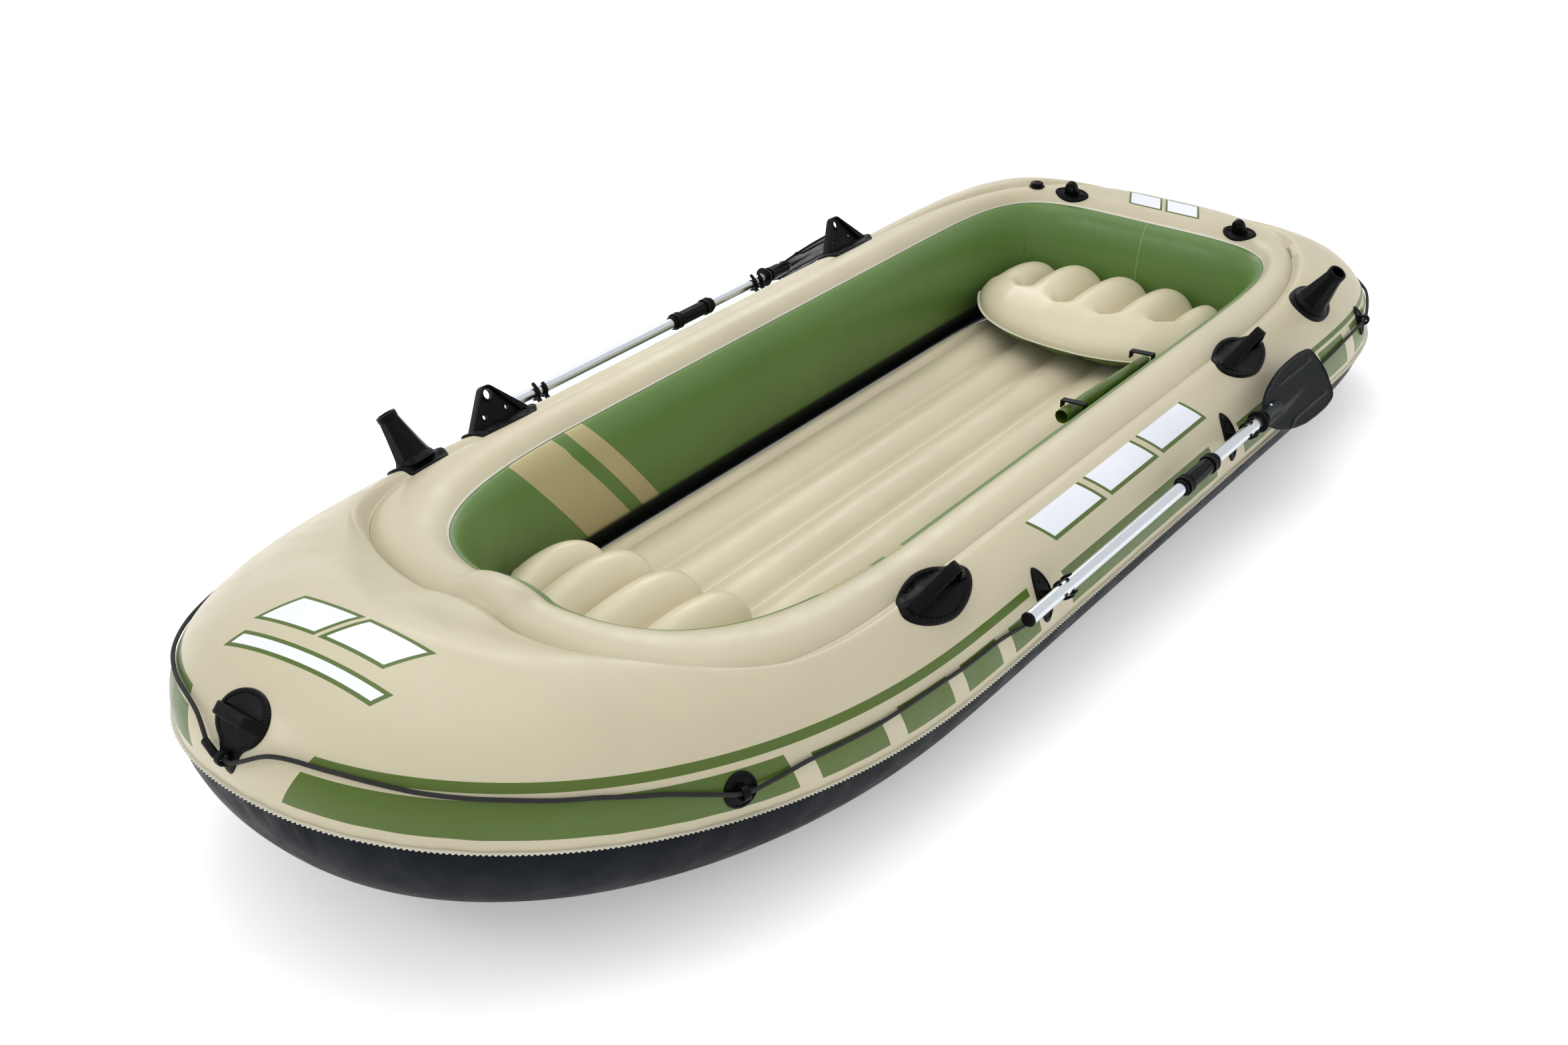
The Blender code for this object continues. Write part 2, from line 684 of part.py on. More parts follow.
def bow_handle(hull):
    name = "bow_handle"
    section = hull.section_near(1.75, 1, 0.0)
    point, normal = section.skin(HANDLE_IN)
    matrix = basis(point, (0, 1, 0), normal)

    def egg(angle):
        lobe = math.exp(-((math.atan2(math.sin(angle + math.pi / 2),
                                      math.cos(angle + math.pi / 2)) / 0.34) ** 2))
        return oval(0.060, 0.050)(angle) + 0.040 * lobe

    strap_out = stood(rounded([(-0.048, 0, 0.002), (0.048, 0, 0.002), (-0.034, 0.024, 0.006),
                               (0.034, 0.024, 0.006)]), PAD_IN - 0.0007)
    strap_in = stood(rounded([(-0.034, 0, 0.001), (0.034, 0, 0.001), (-0.028, 0.020, 0.004),
                              (0.028, 0.020, 0.004)]), PAD_IN + 0.0028)
    strap = loop_mesh(name + "_strap", [strap_out, strap_in], 0.022)
    eye = arch_mesh(name + "_eye", 0.0135, 0.0072, 0.012)
    low = hull.drop(matrix, 0, -0.066)
    eye_place = Matrix.Translation((0, -0.066, low)) @ Matrix.Rotation(0.33, 4, "X") @ ACROSS
    fitting(name, hull, matrix, egg, 0.005, 0.0035,
            [(strap, UPRIGHT, "UNION"), (eye, eye_place, "UNION")])
    return matrix @ eye_place @ Vector((0, ROPE_OFF, 0))


def oar_clasp(name, hull, x, side):
    """A patch with two upright cradles that hold the oar shaft, their mouths facing outwards."""
    section = hull.section_near(x, side)
    matrix = hull.place(section, CLASP_IN)
    centre = Vector((x, side * OAR_Y, OAR_Z))
    out = Vector((0, side * math.cos(CLASP_TILT), math.sin(CLASP_TILT)))
    cradle = basis(centre, out, (1, 0, 0) if side > 0 else (-1, 0, 0))
    local = matrix.inverted() @ cradle
    stem = (matrix.inverted() @ centre).length - 0.004
    inner, outer = SHAFT_R + 0.0012, SHAFT_R + 0.0062
    extras = []
    for offset, upper, lower in ((-0.013, 0.016, 0.007), (0.013, 0.007, 0.016)):
        outline = [(upper, outer)] + circle(0, 0, outer, 7, math.pi / 2, math.pi / 2 - 0.25)
        outline += [(-stem, 0.0045), (-stem, -0.0045)]
        outline += circle(0, 0, outer, 7, math.pi + 0.25, math.pi / 2 - 0.25)
        outline += [(lower, -outer), (lower, -inner)]
        outline += circle(0, 0, inner, 9, -math.pi / 2, -math.pi)
        outline += [(upper, inner)]
        mesh = loop_mesh(f"{name}_cradle", [outline], 0.009)
        extras.append((mesh, local @ Matrix.Translation((0, 0, offset)), "UNION"))
    return fitting(name, hull, matrix, oval(0.026, 0.050, 1.7), 0.005, 0.003, extras)


def valve(name, origin, normal, radius, height):
    """A screw valve: a flanged base with a neck, and a cap with a rim that sits over it."""
    matrix = basis(origin, (1, 0, 0), normal)
    base = turned(name + "_base", [(0, height * 0.30), (radius * 0.58, height * 0.30),
                                   (radius * 0.58, height * 0.12), (radius, height * 0.10),
                                   (radius, 0), (0, 0)], 24, BLACK, 0.35)
    cap = turned(name + "_cap", [(0, height), (radius * 0.70, height), (radius * 0.80, height * 0.85),
                                 (radius * 0.80, height * 0.12 + GAP),
                                 (radius * 0.58 + GAP, height * 0.12 + GAP),
                                 (radius * 0.58 + GAP, height * 0.30 + GAP),
                                 (0, height * 0.30 + GAP)], 24, BLACK, 0.35)
    for obj in (base, cap):
        obj.matrix_world = matrix


# ---- oars ------------------------------------------------------------------
def ring_loop(inner, outer, low, high):
    return [(outer, high), (outer, low), (inner, low), (inner, high)]


def along_x(side, x):
    """Places a turned piece's Z axis along -X, from the grip towards the blade."""
    return basis((x, side * OAR_Y, OAR_Z), (0, 0, 1), (-1, 0, 0))


def oar(prefix, side):
    joint_x = (SLEEVE_FORE + SLEEVE_AFT) / 2
    pieces = {
        "end_cap": ([(0, 0.016), (SHAFT_R - SHAFT_WALL - GAP, 0.016),
                     (SHAFT_R - SHAFT_WALL - GAP, 0.0 - GAP), (SHAFT_R + 0.001, 0.0 - GAP),
                     (SHAFT_R + 0.001, -0.006), (0, -0.007)], OAR_GRIP_X, BLACK, 0.45, 0.0),
        "lower_shaft": (ring_loop(SHAFT_R - SHAFT_WALL, SHAFT_R, 0, OAR_GRIP_X - joint_x - GAP),
                        OAR_GRIP_X, SILVER, 0.25, 1.0),
        "upper_shaft": (ring_loop(SHAFT_R - SHAFT_WALL, SHAFT_R, 0, joint_x - SHAFT_END_X),
                        joint_x, SILVER, 0.25, 1.0),
        "sleeve": (ring_loop(SHAFT_R + GAP, SLEEVE_R, 0, SLEEVE_FORE - SLEEVE_AFT), SLEEVE_FORE,
                   BLACK, 0.45, 0.0),
        "fore_collar": (ring_loop(COLLAR_BORE, COLLAR_R, 0, COLLAR_LONG), SLEEVE_FORE - 0.010,
                        BLACK, 0.5, 0.0),
        "aft_collar": (ring_loop(COLLAR_BORE, COLLAR_R, 0, COLLAR_LONG),
                       SLEEVE_AFT + 0.010 + COLLAR_LONG, BLACK, 0.5, 0.0),
        "drip_ring": ([(0.0195, 0.014), (0.026, 0.005), (0.026, 0.0), (SHAFT_R + GAP, 0.0),
                       (SHAFT_R + GAP, 0.014)], DRIP_X, BLACK, 0.4, 0.0),
    }
    made = {}
    for piece, (loop, x, colour, roughness, metallic) in pieces.items():
        obj = turned(f"{prefix}_{piece}", loop, 16, colour, roughness, metallic)
        obj.matrix_world = along_x(side, x)
        made[piece] = obj
    blade(prefix, side, made["upper_shaft"])


def blade_mesh(name):
    """The paddle blade in its own frame: X along it from the socket, Y across, Z thick."""
    bm = bmesh.new()
    rows = []
    for x, half in BLADE_OUTLINE:
        t = x / BLADE_OUTLINE[-1][0]
        thick = 0.0025 + 0.0060 * (1 - t) ** 2
        row = []
        for y, z in ((-1, 0), (-0.55, 1), (0, 1.7), (0.55, 1), (1, 0), (0.55, -1), (0, -1.7),
                     (-0.55, -1)):
            row.append(bm.verts.new((x, half * y, thick * z + BLADE_DISH * t * t)))
        rows.append(row)
    for row, following in zip(rows, rows[1:]):
        for i in range(8):
            j = (i + 1) % 8
            bm.faces.new((row[i], row[j], following[j], following[i]))
    bm.faces.new(rows[0])
    bm.faces.new(list(reversed(rows[-1])))
    bmesh.ops.recalc_face_normals(bm, faces=bm.faces)
    mesh = bpy.data.meshes.new(name)
    bm.to_mesh(mesh)
    bm.free()
    return mesh


def blade(prefix, side, upper_shaft):
    """Socket and blade, and the sprung button that locks them to the shaft."""
    name = prefix + "_blade"
    socket = turned(name, [(0, SOCKET_LONG), (SOCKET_R, SOCKET_LONG), (SOCKET_R, 0), (0, 0)], 16,
                    BLACK, 0.4)
    socket.matrix_world = along_x(side, SOCKET_X)
    face = Vector((0, side * math.sin(BLADE_TILT), math.cos(BLADE_TILT)))
    down = Vector((0, side * math.cos(BLADE_TILT), -math.sin(BLADE_TILT)))
    root = Vector((SOCKET_X - 0.010, side * OAR_Y, OAR_Z)) + down * BLADE_OFF
    paddle = tool_object(name + "_paddle", blade_mesh(name + "_paddle"),
                         basis(root, (-1, 0, 0), face))
    boolean(socket, paddle, "UNION")
    deep = SOCKET_X - SHAFT_END_X + 0.002
    bore = tool_object(name + "_bore", cylinder_mesh("bore", SHAFT_R + GAP, 2 * deep, 16),
                       basis((SOCKET_X, side * OAR_Y, OAR_Z), (0, 0, 1), (-1, 0, 0)))
    boolean(socket, bore, "DIFFERENCE")
    button_x = SOCKET_X - 0.045
    hole = tool_object(prefix + "_button_hole", cylinder_mesh("hole", BUTTON_R + GAP, 0.02, 12),
                       basis((button_x, side * OAR_Y, OAR_Z + SHAFT_R), (1, 0, 0), (0, 0, 1)))
    boolean(socket, hole, "DIFFERENCE")
    boolean(upper_shaft, hole, "DIFFERENCE")
    low, high = -BUTTON_TRAVEL - 0.002, SOCKET_R - SHAFT_R + 0.0022
    button = turned(prefix + "_button", [(0, high), (BUTTON_R * 0.8, high - 0.0008),
                                         (BUTTON_R, high - 0.002), (BUTTON_R, low), (0, low)],
                    12, SILVER, 0.25, 1.0)
    button.matrix_world = basis((button_x, side * OAR_Y, OAR_Z + SHAFT_R), (1, 0, 0), (0, 0, 1))


# ---- soft pieces -----------------------------------------------------------
def plan_width(plan, x):
    """Half width of a plan curve at x."""
    half, stern, bow, stern_len, bow_len, stern_pow, bow_pow = plan
    if x > bow - bow_len:
        t = min((x - (bow - bow_len)) / bow_len, 1)
        return half * (1 - t ** bow_pow) ** (1 / bow_pow)
    if x < stern + stern_len:
        t = min(((stern + stern_len) - x) / stern_len, 1)
        return half * (1 - t ** stern_pow) ** (1 / stern_pow)
    return half


def grid_solid(name, columns, rows, point_over, point_under):
    """A closed cushion-like solid: two grids of points that share their border."""
    bm = bmesh.new()
    over = [[bm.verts.new(point_over(i, j)) for j in range(rows + 1)] for i in range(columns + 1)]
    under = []
    for i in range(columns + 1):
        line = []
        for j in range(rows + 1):
            border = i in (0, columns) or j in (0, rows)
            line.append(over[i][j] if border else bm.verts.new(point_under(i, j)))
        under.append(line)
    for grid in (over, under):
        for i in range(columns):
            for j in range(rows):
                bm.faces.new((grid[i][j], grid[i + 1][j], grid[i + 1][j + 1], grid[i][j + 1]))
    bmesh.ops.recalc_face_normals(bm, faces=bm.faces)
    mesh = bpy.data.meshes.new(name)
    bm.to_mesh(mesh)
    bm.free()
    return mesh


def floor_mat():
    """Air mattress with long channels between its weld lines."""
    half, stern, bow = MAT_PLAN[:3]
    columns = 28
    rows = 8

    def plan(i, j):
        y = half * math.sin(0.5 * math.pi * (2 * i / columns - 1))
        span = [x for x in (stern + (bow - stern) * k / 400 for k in range(401))
                if plan_width(MAT_PLAN, x) >= abs(y) - 1e-6]
        front, back = max(span), min(span)
        t = 0.5 - 0.5 * math.cos(math.pi * j / rows)
        return back + (front - back) * t, y, t

    def over(i, j):
        x, y, t = plan(i, j)
        channel = abs(math.cos(math.pi * y / MAT_CHANNEL))
        ends = min(1, 9 * min(t, 1 - t)) ** 0.5
        sides = min(1, 7 * (1 - abs(y) / half)) ** 0.5
        border = i in (0, columns) or j in (0, rows)
        full = MAT_WELD_Z + (MAT_TOP_Z - MAT_WELD_Z) * channel - MAT_SEAM_Z
        return (x, y, MAT_SEAM_Z if border else MAT_SEAM_Z + full * ends * sides)

    def under(i, j):
        x, y, t = plan(i, j)
        return (x, y, MAT_BASE_Z)

    add_part("floor_mat", grid_solid("floor_mat", columns, rows, over, under), CREAM, 0.42)


def cushion(name, back_x, size):
    """A seat cushion with five lobes along its back edge and a plain crowned front."""
    columns, rows = 20, 7
    half, deep, rounding = size

    def plan(i, j):
        v = math.sin(0.5 * math.pi * (2 * i / columns - 1))
        y = half * v
        t = 0.5 - 0.5 * math.cos(math.pi * j / rows)
        front = deep * (1 - rounding * abs(v) ** 2.4)
        back = 0.10 * abs(v) ** 5
        squeeze = 1 - 0.5 * abs(v) ** 10
        middle = 0.5 * (front + back)
        depth = middle + (t - 0.5) * (front - back) * squeeze
        return back_x + depth, y, t, abs(v)

    def lens(t, v):
        return (4 * t * (1 - t)) ** 0.5 * (1 - v ** 3.5) ** 0.5

    def lobes(y, t):
        wave = abs(math.cos(math.pi * 2.5 * y / half))
        return 1 - 0.30 * (1 - wave) ** 2 * (1 - t) ** 1.5

    def over(i, j):
        x, y, t, v = plan(i, j)
        lift = CUSHION_SEAM_Z + CUSHION_UP * lens(t, v) * lobes(y, t)
        return (x, y, lift)

    def under(i, j):
        x, y, t, v = plan(i, j)
        return (x, y, CUSHION_SEAM_Z - CUSHION_DOWN * lens(t, v))

    add_part(name, grid_solid(name, columns, rows, over, under), CREAM, 0.42)


def bottom_sheet():
    ring = plan_ring(FLOOR_PLAN, 26)
    mesh = loop_mesh("bottom_sheet", [ring], FLOOR_THICK)
    sheet = add_part("bottom_sheet", mesh, NAVY, 0.5)
    sheet.location = (0, 0, FLOOR_Z)


def gear_pouch():
    """A rolled tool pouch with a tube along its top, under two hooks on the port inner wall."""
    outline = rounded([(-0.006, -0.018, 0.016), (0.008, -0.020, 0.004), (0.004, -0.105, 0.006),
                       (-0.010, -0.108, 0.006)])
    hollow = circle(-0.006, -0.018, 0.0115, 10)
    pouch = add_part("gear_pouch", loop_mesh("gear_pouch", [outline, hollow], POUCH_LONG), GREEN,
                     0.4)
    middle = (POUCH_FORE_X - POUCH_LONG / 2, POUCH_Y, POUCH_TOP_Z)
    pouch.matrix_world = basis(middle, (0, 1, 0), (1, 0, 0))
    for label, x in (("fore", POUCH_FORE_X - 0.040), ("aft", POUCH_FORE_X - POUCH_LONG + 0.040)):
        outline = [(0.031, -0.008), (0.034, -0.008), (0.034, 0.010), (-0.029, 0.005),
                   (-0.029, -0.014), (-0.0255, -0.014), (-0.0255, 0.0015), (0.031, 0.006)]
        hook = add_part(f"pouch_hook_{label}", loop_mesh("hook", [outline], 0.018), BLACK, 0.4)
        hook.matrix_world = basis((x, POUCH_Y, POUCH_TOP_Z), (0, 1, 0), (1, 0, 0))


def rope_stretch(hull, side):
    """The line along one side, from near the bow eye to the middle of the stern."""
    ring = hull.outline
    half = [i for i in range(len(ring)) if ring[i][1] * side >= 0]
    where = []
    for x, degrees, steps in ROPE_ROUTE:
        where.append((min(half, key=lambda i: abs(ring[i][0] - x)), degrees, steps))
    where.append((len(ring) // 2, ROPE_STERN, 1))
    points = []
    for (a, angle_a, steps), (b, angle_b, _) in zip(where, where[1:]):
        for k in range(steps):
            t = k / steps
            i = round(a + (b - a) * t)
            section = Section(ring[i - 1], ring[i], ring[(i + 1) % len(ring)], hull.valley_curve,
                              hull.edge_curve)
            angle = math.radians(angle_a + (angle_b - angle_a) * (3 - 2 * t) * t * t)
            point, normal = section.skin(section.reach * (1 - math.cos(angle)))
            points.append(point + normal * ROPE_OFF)
    return points


def grab_line(hull, eye_point):
    """The braided line: through the bow eye, down one side, round the stern and back."""
    port = rope_stretch(hull, 1)
    starboard = rope_stretch(hull, -1)
    starboard.reverse()
    start = eye_point + Vector((0, -0.022, 0))
    end = starboard[-1].lerp(eye_point + Vector((0, -0.034, 0)), 0.85)
    return [start, eye_point, eye_point + Vector((0, 0.022, 0))] + port + starboard + [end]


CREAM = (0.66, 0.58, 0.46)
NAVY = (0.012, 0.020, 0.032)
GREEN = (0.11, 0.21, 0.045)
BLACK = (0.012, 0.012, 0.013)
SILVER = (0.62, 0.66, 0.70)


def build_hull(sections):
    add_part("hull_lower", ring_mesh("hull_lower", sections, Section.lower_profile), NAVY, 0.42)
    add_part("hull_upper", ring_mesh("hull_upper", sections, Section.upper_profile), CREAM, 0.45)
    add_part("inner_chamber", ring_mesh("inner_chamber", sections, Section.inner_profile), CREAM,
             0.45)
    add_part("seam_flange", ring_mesh("seam_flange", sections, Section.flange_profile), CREAM, 0.5)


def main():
    global PARTS, TOOLS
    clear_scene()
    PARTS = bpy.data.collections.new("inflatable_rowing_boat")
    TOOLS = bpy.data.collections.new("cutters")
    for collection in (PARTS, TOOLS):
        bpy.context.scene.collection.children.link(collection)
    hull = Hull()
    build_hull(hull.sections())
    bottom_sheet()
    floor_mat()
    cushion("front_cushion", FRONT_CUSHION_X, FRONT_CUSHION)
    cushion("back_cushion", BACK_CUSHION_X, BACK_CUSHION)
    gear_pouch()
    hull.learn_skin(("hull_upper", "inner_chamber"))
    eye_point = bow_handle(hull)
    for side, label in ((1, "port"), (-1, "starboard")):
        oarlock(f"fore_oarlock_{label}", hull, OARLOCK_FORE_X, side)
        oarlock(f"aft_oarlock_{label}", hull, OARLOCK_AFT_X, side)
        motor_mount(f"motor_mount_{label}", hull, side)
        rope_guide(f"rope_guide_{label}", hull, ROPE_GUIDE_X, side)
        rope_eye(f"rope_eye_{label}", hull, ROPE_EYE_X, side)
        oar_clasp(f"fore_oar_clasp_{label}", hull, CLASP_FORE_X, side)
        oar_clasp(f"aft_oar_clasp_{label}", hull, CLASP_AFT_X, side)
        oar(f"{label}_oar", side)
    rod_holder("rod_holder_fore", hull, ROD_FORE_X, -1)
    rod_holder("rod_holder_aft", hull, ROD_AFT_X, 1)
    stern = hull.section_near(-1.75, -1, VALVE_OFF)
    point, normal = stern.skin(VALVE_IN)
    valve("stern_valve", point + normal * 0.0012, normal, 0.0235, 0.012)
    add_part("grab_line", tube_mesh("grab_line", grab_line(hull, eye_point), ROPE_R), BLACK, 0.7)


main()
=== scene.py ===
"""Looks of the inflatable rowing boat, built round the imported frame: +X bow, +Y port, +Z up."""
import math

import bmesh
import bpy
from mathutils import Matrix, Vector, geometry, noise
from mathutils.bvhtree import BVHTree


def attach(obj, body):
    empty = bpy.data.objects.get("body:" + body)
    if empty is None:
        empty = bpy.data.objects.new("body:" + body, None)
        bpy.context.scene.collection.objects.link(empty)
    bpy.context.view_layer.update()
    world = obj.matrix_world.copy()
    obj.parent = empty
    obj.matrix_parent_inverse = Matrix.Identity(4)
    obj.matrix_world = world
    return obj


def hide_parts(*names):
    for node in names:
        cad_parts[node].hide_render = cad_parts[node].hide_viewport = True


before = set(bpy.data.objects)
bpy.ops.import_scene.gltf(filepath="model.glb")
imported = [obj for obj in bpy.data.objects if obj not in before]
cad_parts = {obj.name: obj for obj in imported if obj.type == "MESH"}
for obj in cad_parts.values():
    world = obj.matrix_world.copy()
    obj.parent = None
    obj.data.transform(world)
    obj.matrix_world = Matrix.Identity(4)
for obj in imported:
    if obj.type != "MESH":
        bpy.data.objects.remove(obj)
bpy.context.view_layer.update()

# ---- camera, lights and floor ----------------------------------------------
CAMERA_AT = Vector((2.9139, 2.0979, 2.1844))
CAMERA_TURN = (128.5105, 30.7289, -0.9063)      # azimuth, elevation and roll, degrees
LENS = 39.34


def make_camera():
    az, el, roll = (math.radians(v) for v in CAMERA_TURN)
    back = Vector((math.sin(az) * math.cos(el), -math.cos(az) * math.cos(el), math.sin(el)))
    right = Vector((math.cos(az), math.sin(az), 0))
    up = back.cross(right)
    r = math.cos(roll) * right + math.sin(roll) * up
    u = math.cos(roll) * up - math.sin(roll) * right
    data = bpy.data.cameras.new("camera")
    data.lens = LENS
    data.sensor_width = 36
    data.sensor_fit = "HORIZONTAL"
    data.clip_end = 200
    camera = bpy.data.objects.new("camera", data)
    camera.matrix_world = Matrix((r, u, back)).transposed().to_4x4()
    camera.matrix_world.translation = CAMERA_AT
    bpy.context.scene.collection.objects.link(camera)
    bpy.context.scene.camera = camera


WORLD_LIGHT, FLOOR_GLOW, FLOOR_HALF, FLOOR_Z = 0.92, 0.30, 30, -0.0005
LIGHTS = {      # place, aim, size and power
    "overhead": ((0.4, -0.6, 4.2), (0, 0, 0), (4.5, 3.0), 62),
    "bow_side": ((4.6, -2.6, 3.2), (0.6, 0, 0.2), (2.0, 1.2), 34),
    "stern_side": ((-3.8, -3.2, 3.4), (-0.4, 0, 0.2), (2.2, 1.2), 34),
}


def area_light(name, at, aim, size, power):
    data = bpy.data.lights.new(name, "AREA")
    data.shape = "RECTANGLE"
    data.size, data.size_y = size
    data.energy = power
    light = bpy.data.objects.new(name, data)
    light.location = at
    light.rotation_euler = (Vector(aim) - Vector(at)).to_track_quat("-Z", "Y").to_euler()
    bpy.context.scene.collection.objects.link(light)


def studio():
    world = bpy.data.worlds.new("studio")
    bpy.context.scene.world = world
    bpy.context.scene.view_settings.view_transform = "Standard"
    world.use_nodes = True
    background = world.node_tree.nodes["Background"]
    background.inputs["Color"].default_value = (1, 1, 1, 1)
    background.inputs["Strength"].default_value = WORLD_LIGHT
    for name, light in LIGHTS.items():
        area_light(name, *light)
    mesh = bpy.data.meshes.new("floor")
    corners = [(FLOOR_HALF * x, FLOOR_HALF * y, 0) for x, y in ((-1, -1), (1, -1), (1, 1), (-1, 1))]
    mesh.from_pydata(corners, [], [(0, 1, 2, 3)])
    floor = bpy.data.objects.new("floor", mesh)
    floor.location.z = FLOOR_Z
    bpy.context.scene.collection.objects.link(floor)
    m = Mat("floor_white", (0.94, 0.94, 0.94), 0.8, specular=0.2)
    m.shader.inputs["Emission Color"].default_value = (1, 1, 1, 1)
    m.shader.inputs["Emission Strength"].default_value = FLOOR_GLOW
    mesh.materials.append(m.done(grain=(30, 0.0001), vary=0.0))


# ---- materials -------------------------------------------------------------
class Mat:
    """A procedural material that is put together from a few kinds of node."""

    def __init__(self, name, colour, roughness, metallic=0.0, specular=0.5, coat=0.0):
        self.mat = bpy.data.materials.new(name)
        self.mat.use_nodes = True
        self.tree = self.mat.node_tree
        self.shader = self.tree.nodes["Principled BSDF"]
        self.shader.inputs["Metallic"].default_value = metallic
        self.shader.inputs["Specular IOR Level"].default_value = specular
        self.shader.inputs["Coat Weight"].default_value = coat
        self.shader.inputs["Coat Roughness"].default_value = 0.25
        self.roughness = roughness
        self.spot = self.new("ShaderNodeTexCoord").outputs["Object"]
        self.colour = self.flat(colour)
        self.bumps = []

    def new(self, kind, **values):
        node = self.tree.nodes.new(kind)
        for key, value in values.items():
            setattr(node, key, value)
        return node

    def feed(self, socket, value):
        if isinstance(value, bpy.types.NodeSocket):
            self.tree.links.new(value, socket)
        elif isinstance(value, tuple) and len(value) == 3 and socket.type == "RGBA":
            socket.default_value = (*value, 1)
        else:
            socket.default_value = value

    def flat(self, colour):
        node = self.new("ShaderNodeRGB")
        node.outputs[0].default_value = (*colour, 1)
        return node.outputs[0]

    def math(self, operation, a, b=0.0, c=0.0, clamp=False):
        node = self.new("ShaderNodeMath", operation=operation, use_clamp=clamp)
        for socket, value in zip(node.inputs, (a, b, c)):
            self.feed(socket, value)
        return node.outputs[0]

    def ramp(self, value, low, high, start=0.0, end=1.0):
        """Value's smooth share from low to high, as start to end."""
        node = self.new("ShaderNodeMapRange", interpolation_type="SMOOTHSTEP")
        for socket, v in zip(node.inputs, (value, low, high, start, end)):
            self.feed(socket, v)
        return node.outputs[0]

    def noise(self, scale, detail=3.0, stretch=(1, 1, 1), rough=0.5, spot=None):
        mapping = self.new("ShaderNodeMapping")
        mapping.inputs["Scale"].default_value = stretch
        self.feed(mapping.inputs["Vector"], spot or self.spot)
        node = self.new("ShaderNodeTexNoise")
        self.feed(node.inputs["Vector"], mapping.outputs[0])
        node.inputs["Scale"].default_value = scale
        node.inputs["Detail"].default_value = detail
        node.inputs["Roughness"].default_value = rough
        return node.outputs[0]

    def lay(self):
        """The three numbers that the geometry keeps for its material."""
        node = self.new("ShaderNodeAttribute", attribute_name="lay")
        split = self.new("ShaderNodeSeparateXYZ")
        self.feed(split.inputs[0], node.outputs["Vector"])
        return split.outputs

    def place(self):
        split = self.new("ShaderNodeSeparateXYZ")
        self.feed(split.inputs[0], self.spot)
        return split.outputs

    def paint(self, mask, colour):
        node = self.new("ShaderNodeMix", data_type="RGBA")
        self.feed(node.inputs[0], mask)
        self.feed(node.inputs[6], self.colour)
        self.feed(node.inputs[7], colour)
        self.colour = node.outputs[2]

    def block(self, u, v, a, b, lo, hi, slant=0.0, about=0.0):
        """1 inside a parallelogram of u and v whose ends lean by slant per unit of v from about."""
        if slant:
            u = self.math("MULTIPLY_ADD", self.math("SUBTRACT", v, about), -slant, u)
        along = self.math("COMPARE", u, (a + b) / 2, abs(b - a) / 2)
        across = self.math("COMPARE", v, (lo + hi) / 2, abs(hi - lo) / 2)
        return self.math("MULTIPLY", along, across)

    def either(self, masks):
        total = masks[0]
        for mask in masks[1:]:
            total = self.math("MAXIMUM", total, mask)
        return total

    def bump(self, height, distance, strength=1.0):
        self.bumps.append((height, distance, strength))

    def done(self, grain=(900, 0.00005), vary=0.05, uneven=0.07):
        """Adds tone and gloss that vary a little, fine grain, and every bump."""
        tone = self.noise(2.3, 3)
        shade = self.ramp(tone, 0.3, 0.7, 1 - vary, 1 + vary)
        node = self.new("ShaderNodeVectorMath", operation="SCALE")
        self.feed(node.inputs[0], self.colour)
        self.feed(node.inputs["Scale"], shade)
        self.feed(self.shader.inputs["Base Color"], node.outputs[0])
        gloss = self.noise(17, 4)
        self.feed(self.shader.inputs["Roughness"],
                  self.ramp(gloss, 0.25, 0.75, self.roughness - uneven, self.roughness + uneven))
        self.bump(self.noise(grain[0], 2), grain[1])
        normal = None
        for height, distance, strength in self.bumps:
            node = self.new("ShaderNodeBump")
            node.inputs["Distance"].default_value = distance
            node.inputs["Strength"].default_value = strength
            self.feed(node.inputs["Height"], height)
            if normal is not None:
                self.feed(node.inputs["Normal"], normal)
            normal = node.outputs[0]
        self.feed(self.shader.inputs["Normal"], normal)
        return self.mat


CREAM = (0.488, 0.444, 0.312)
SOFT_CREAM = (0.575, 0.515, 0.365)          # the cushions and the floor mat
PALE = (0.62, 0.60, 0.50)
NAVY = (0.0010, 0.0030, 0.0062)
GREEN = (0.064, 0.112, 0.008)
WALL_GREEN = (0.098, 0.182, 0.040)
TAN = (0.42, 0.36, 0.18)
WHITE = (0.72, 0.74, 0.80)
BLACK = (0.0026, 0.0026, 0.0030)
BLADE = (0.0030, 0.0055, 0.0068)
SILVER = (0.62, 0.66, 0.70)

# printed blocks: (from x, to x, highest angle), each end leaning 26 mm over its height
BLOCKS = ((1.900, 1.066, 21.5), (1.015, 0.845, 17.6), (0.795, 0.647, 19.4), (0.600, 0.476, 19.5),
          (0.428, 0.330, 18.6), (0.202, -0.474, 24.8), (-0.620, -0.930, 24.8),
          (-1.100, -1.255, 25.0), (-1.315, -1.460, 25.0), (-1.520, -1.640, 25.0))
BLOCK_LEAN = 0.0011
STRIPES = ((1.900, 0.350, 25.2, 30.4), (-0.930, -1.660, 27.4, 31.0))     # and their angles
BOW_GAP, BOW_GAP_LEAN = 0.118, 0.0014       # the prints stop this far from the middle of the bow
SIDE_BARS = ((0.215, 0.018), (-0.022, -0.219), (-0.259, -0.456))
BOW_BARS = ((-0.112, 0.016, 1.468, 1.536), (0.044, 0.172, 1.468, 1.536), (-0.132, 0.190, 1.581, 1.602))
STERN_BARS = ((-0.108, -0.014), (0.010, 0.104))
WALL_BANDS = ((0.279, 0.425), (0.174, 0.235))
WALL_BAND_LEAN = 0.76
WALL_SHADE_Z = (0.118, 0.100)                # the shade where the wall meets the floor


def pvc(name, colour, roughness=0.36):
    m = Mat(name, colour, roughness, specular=0.38, coat=0.06)
    m.bump(m.noise(55, 3), 0.00035, 0.6)
    return m


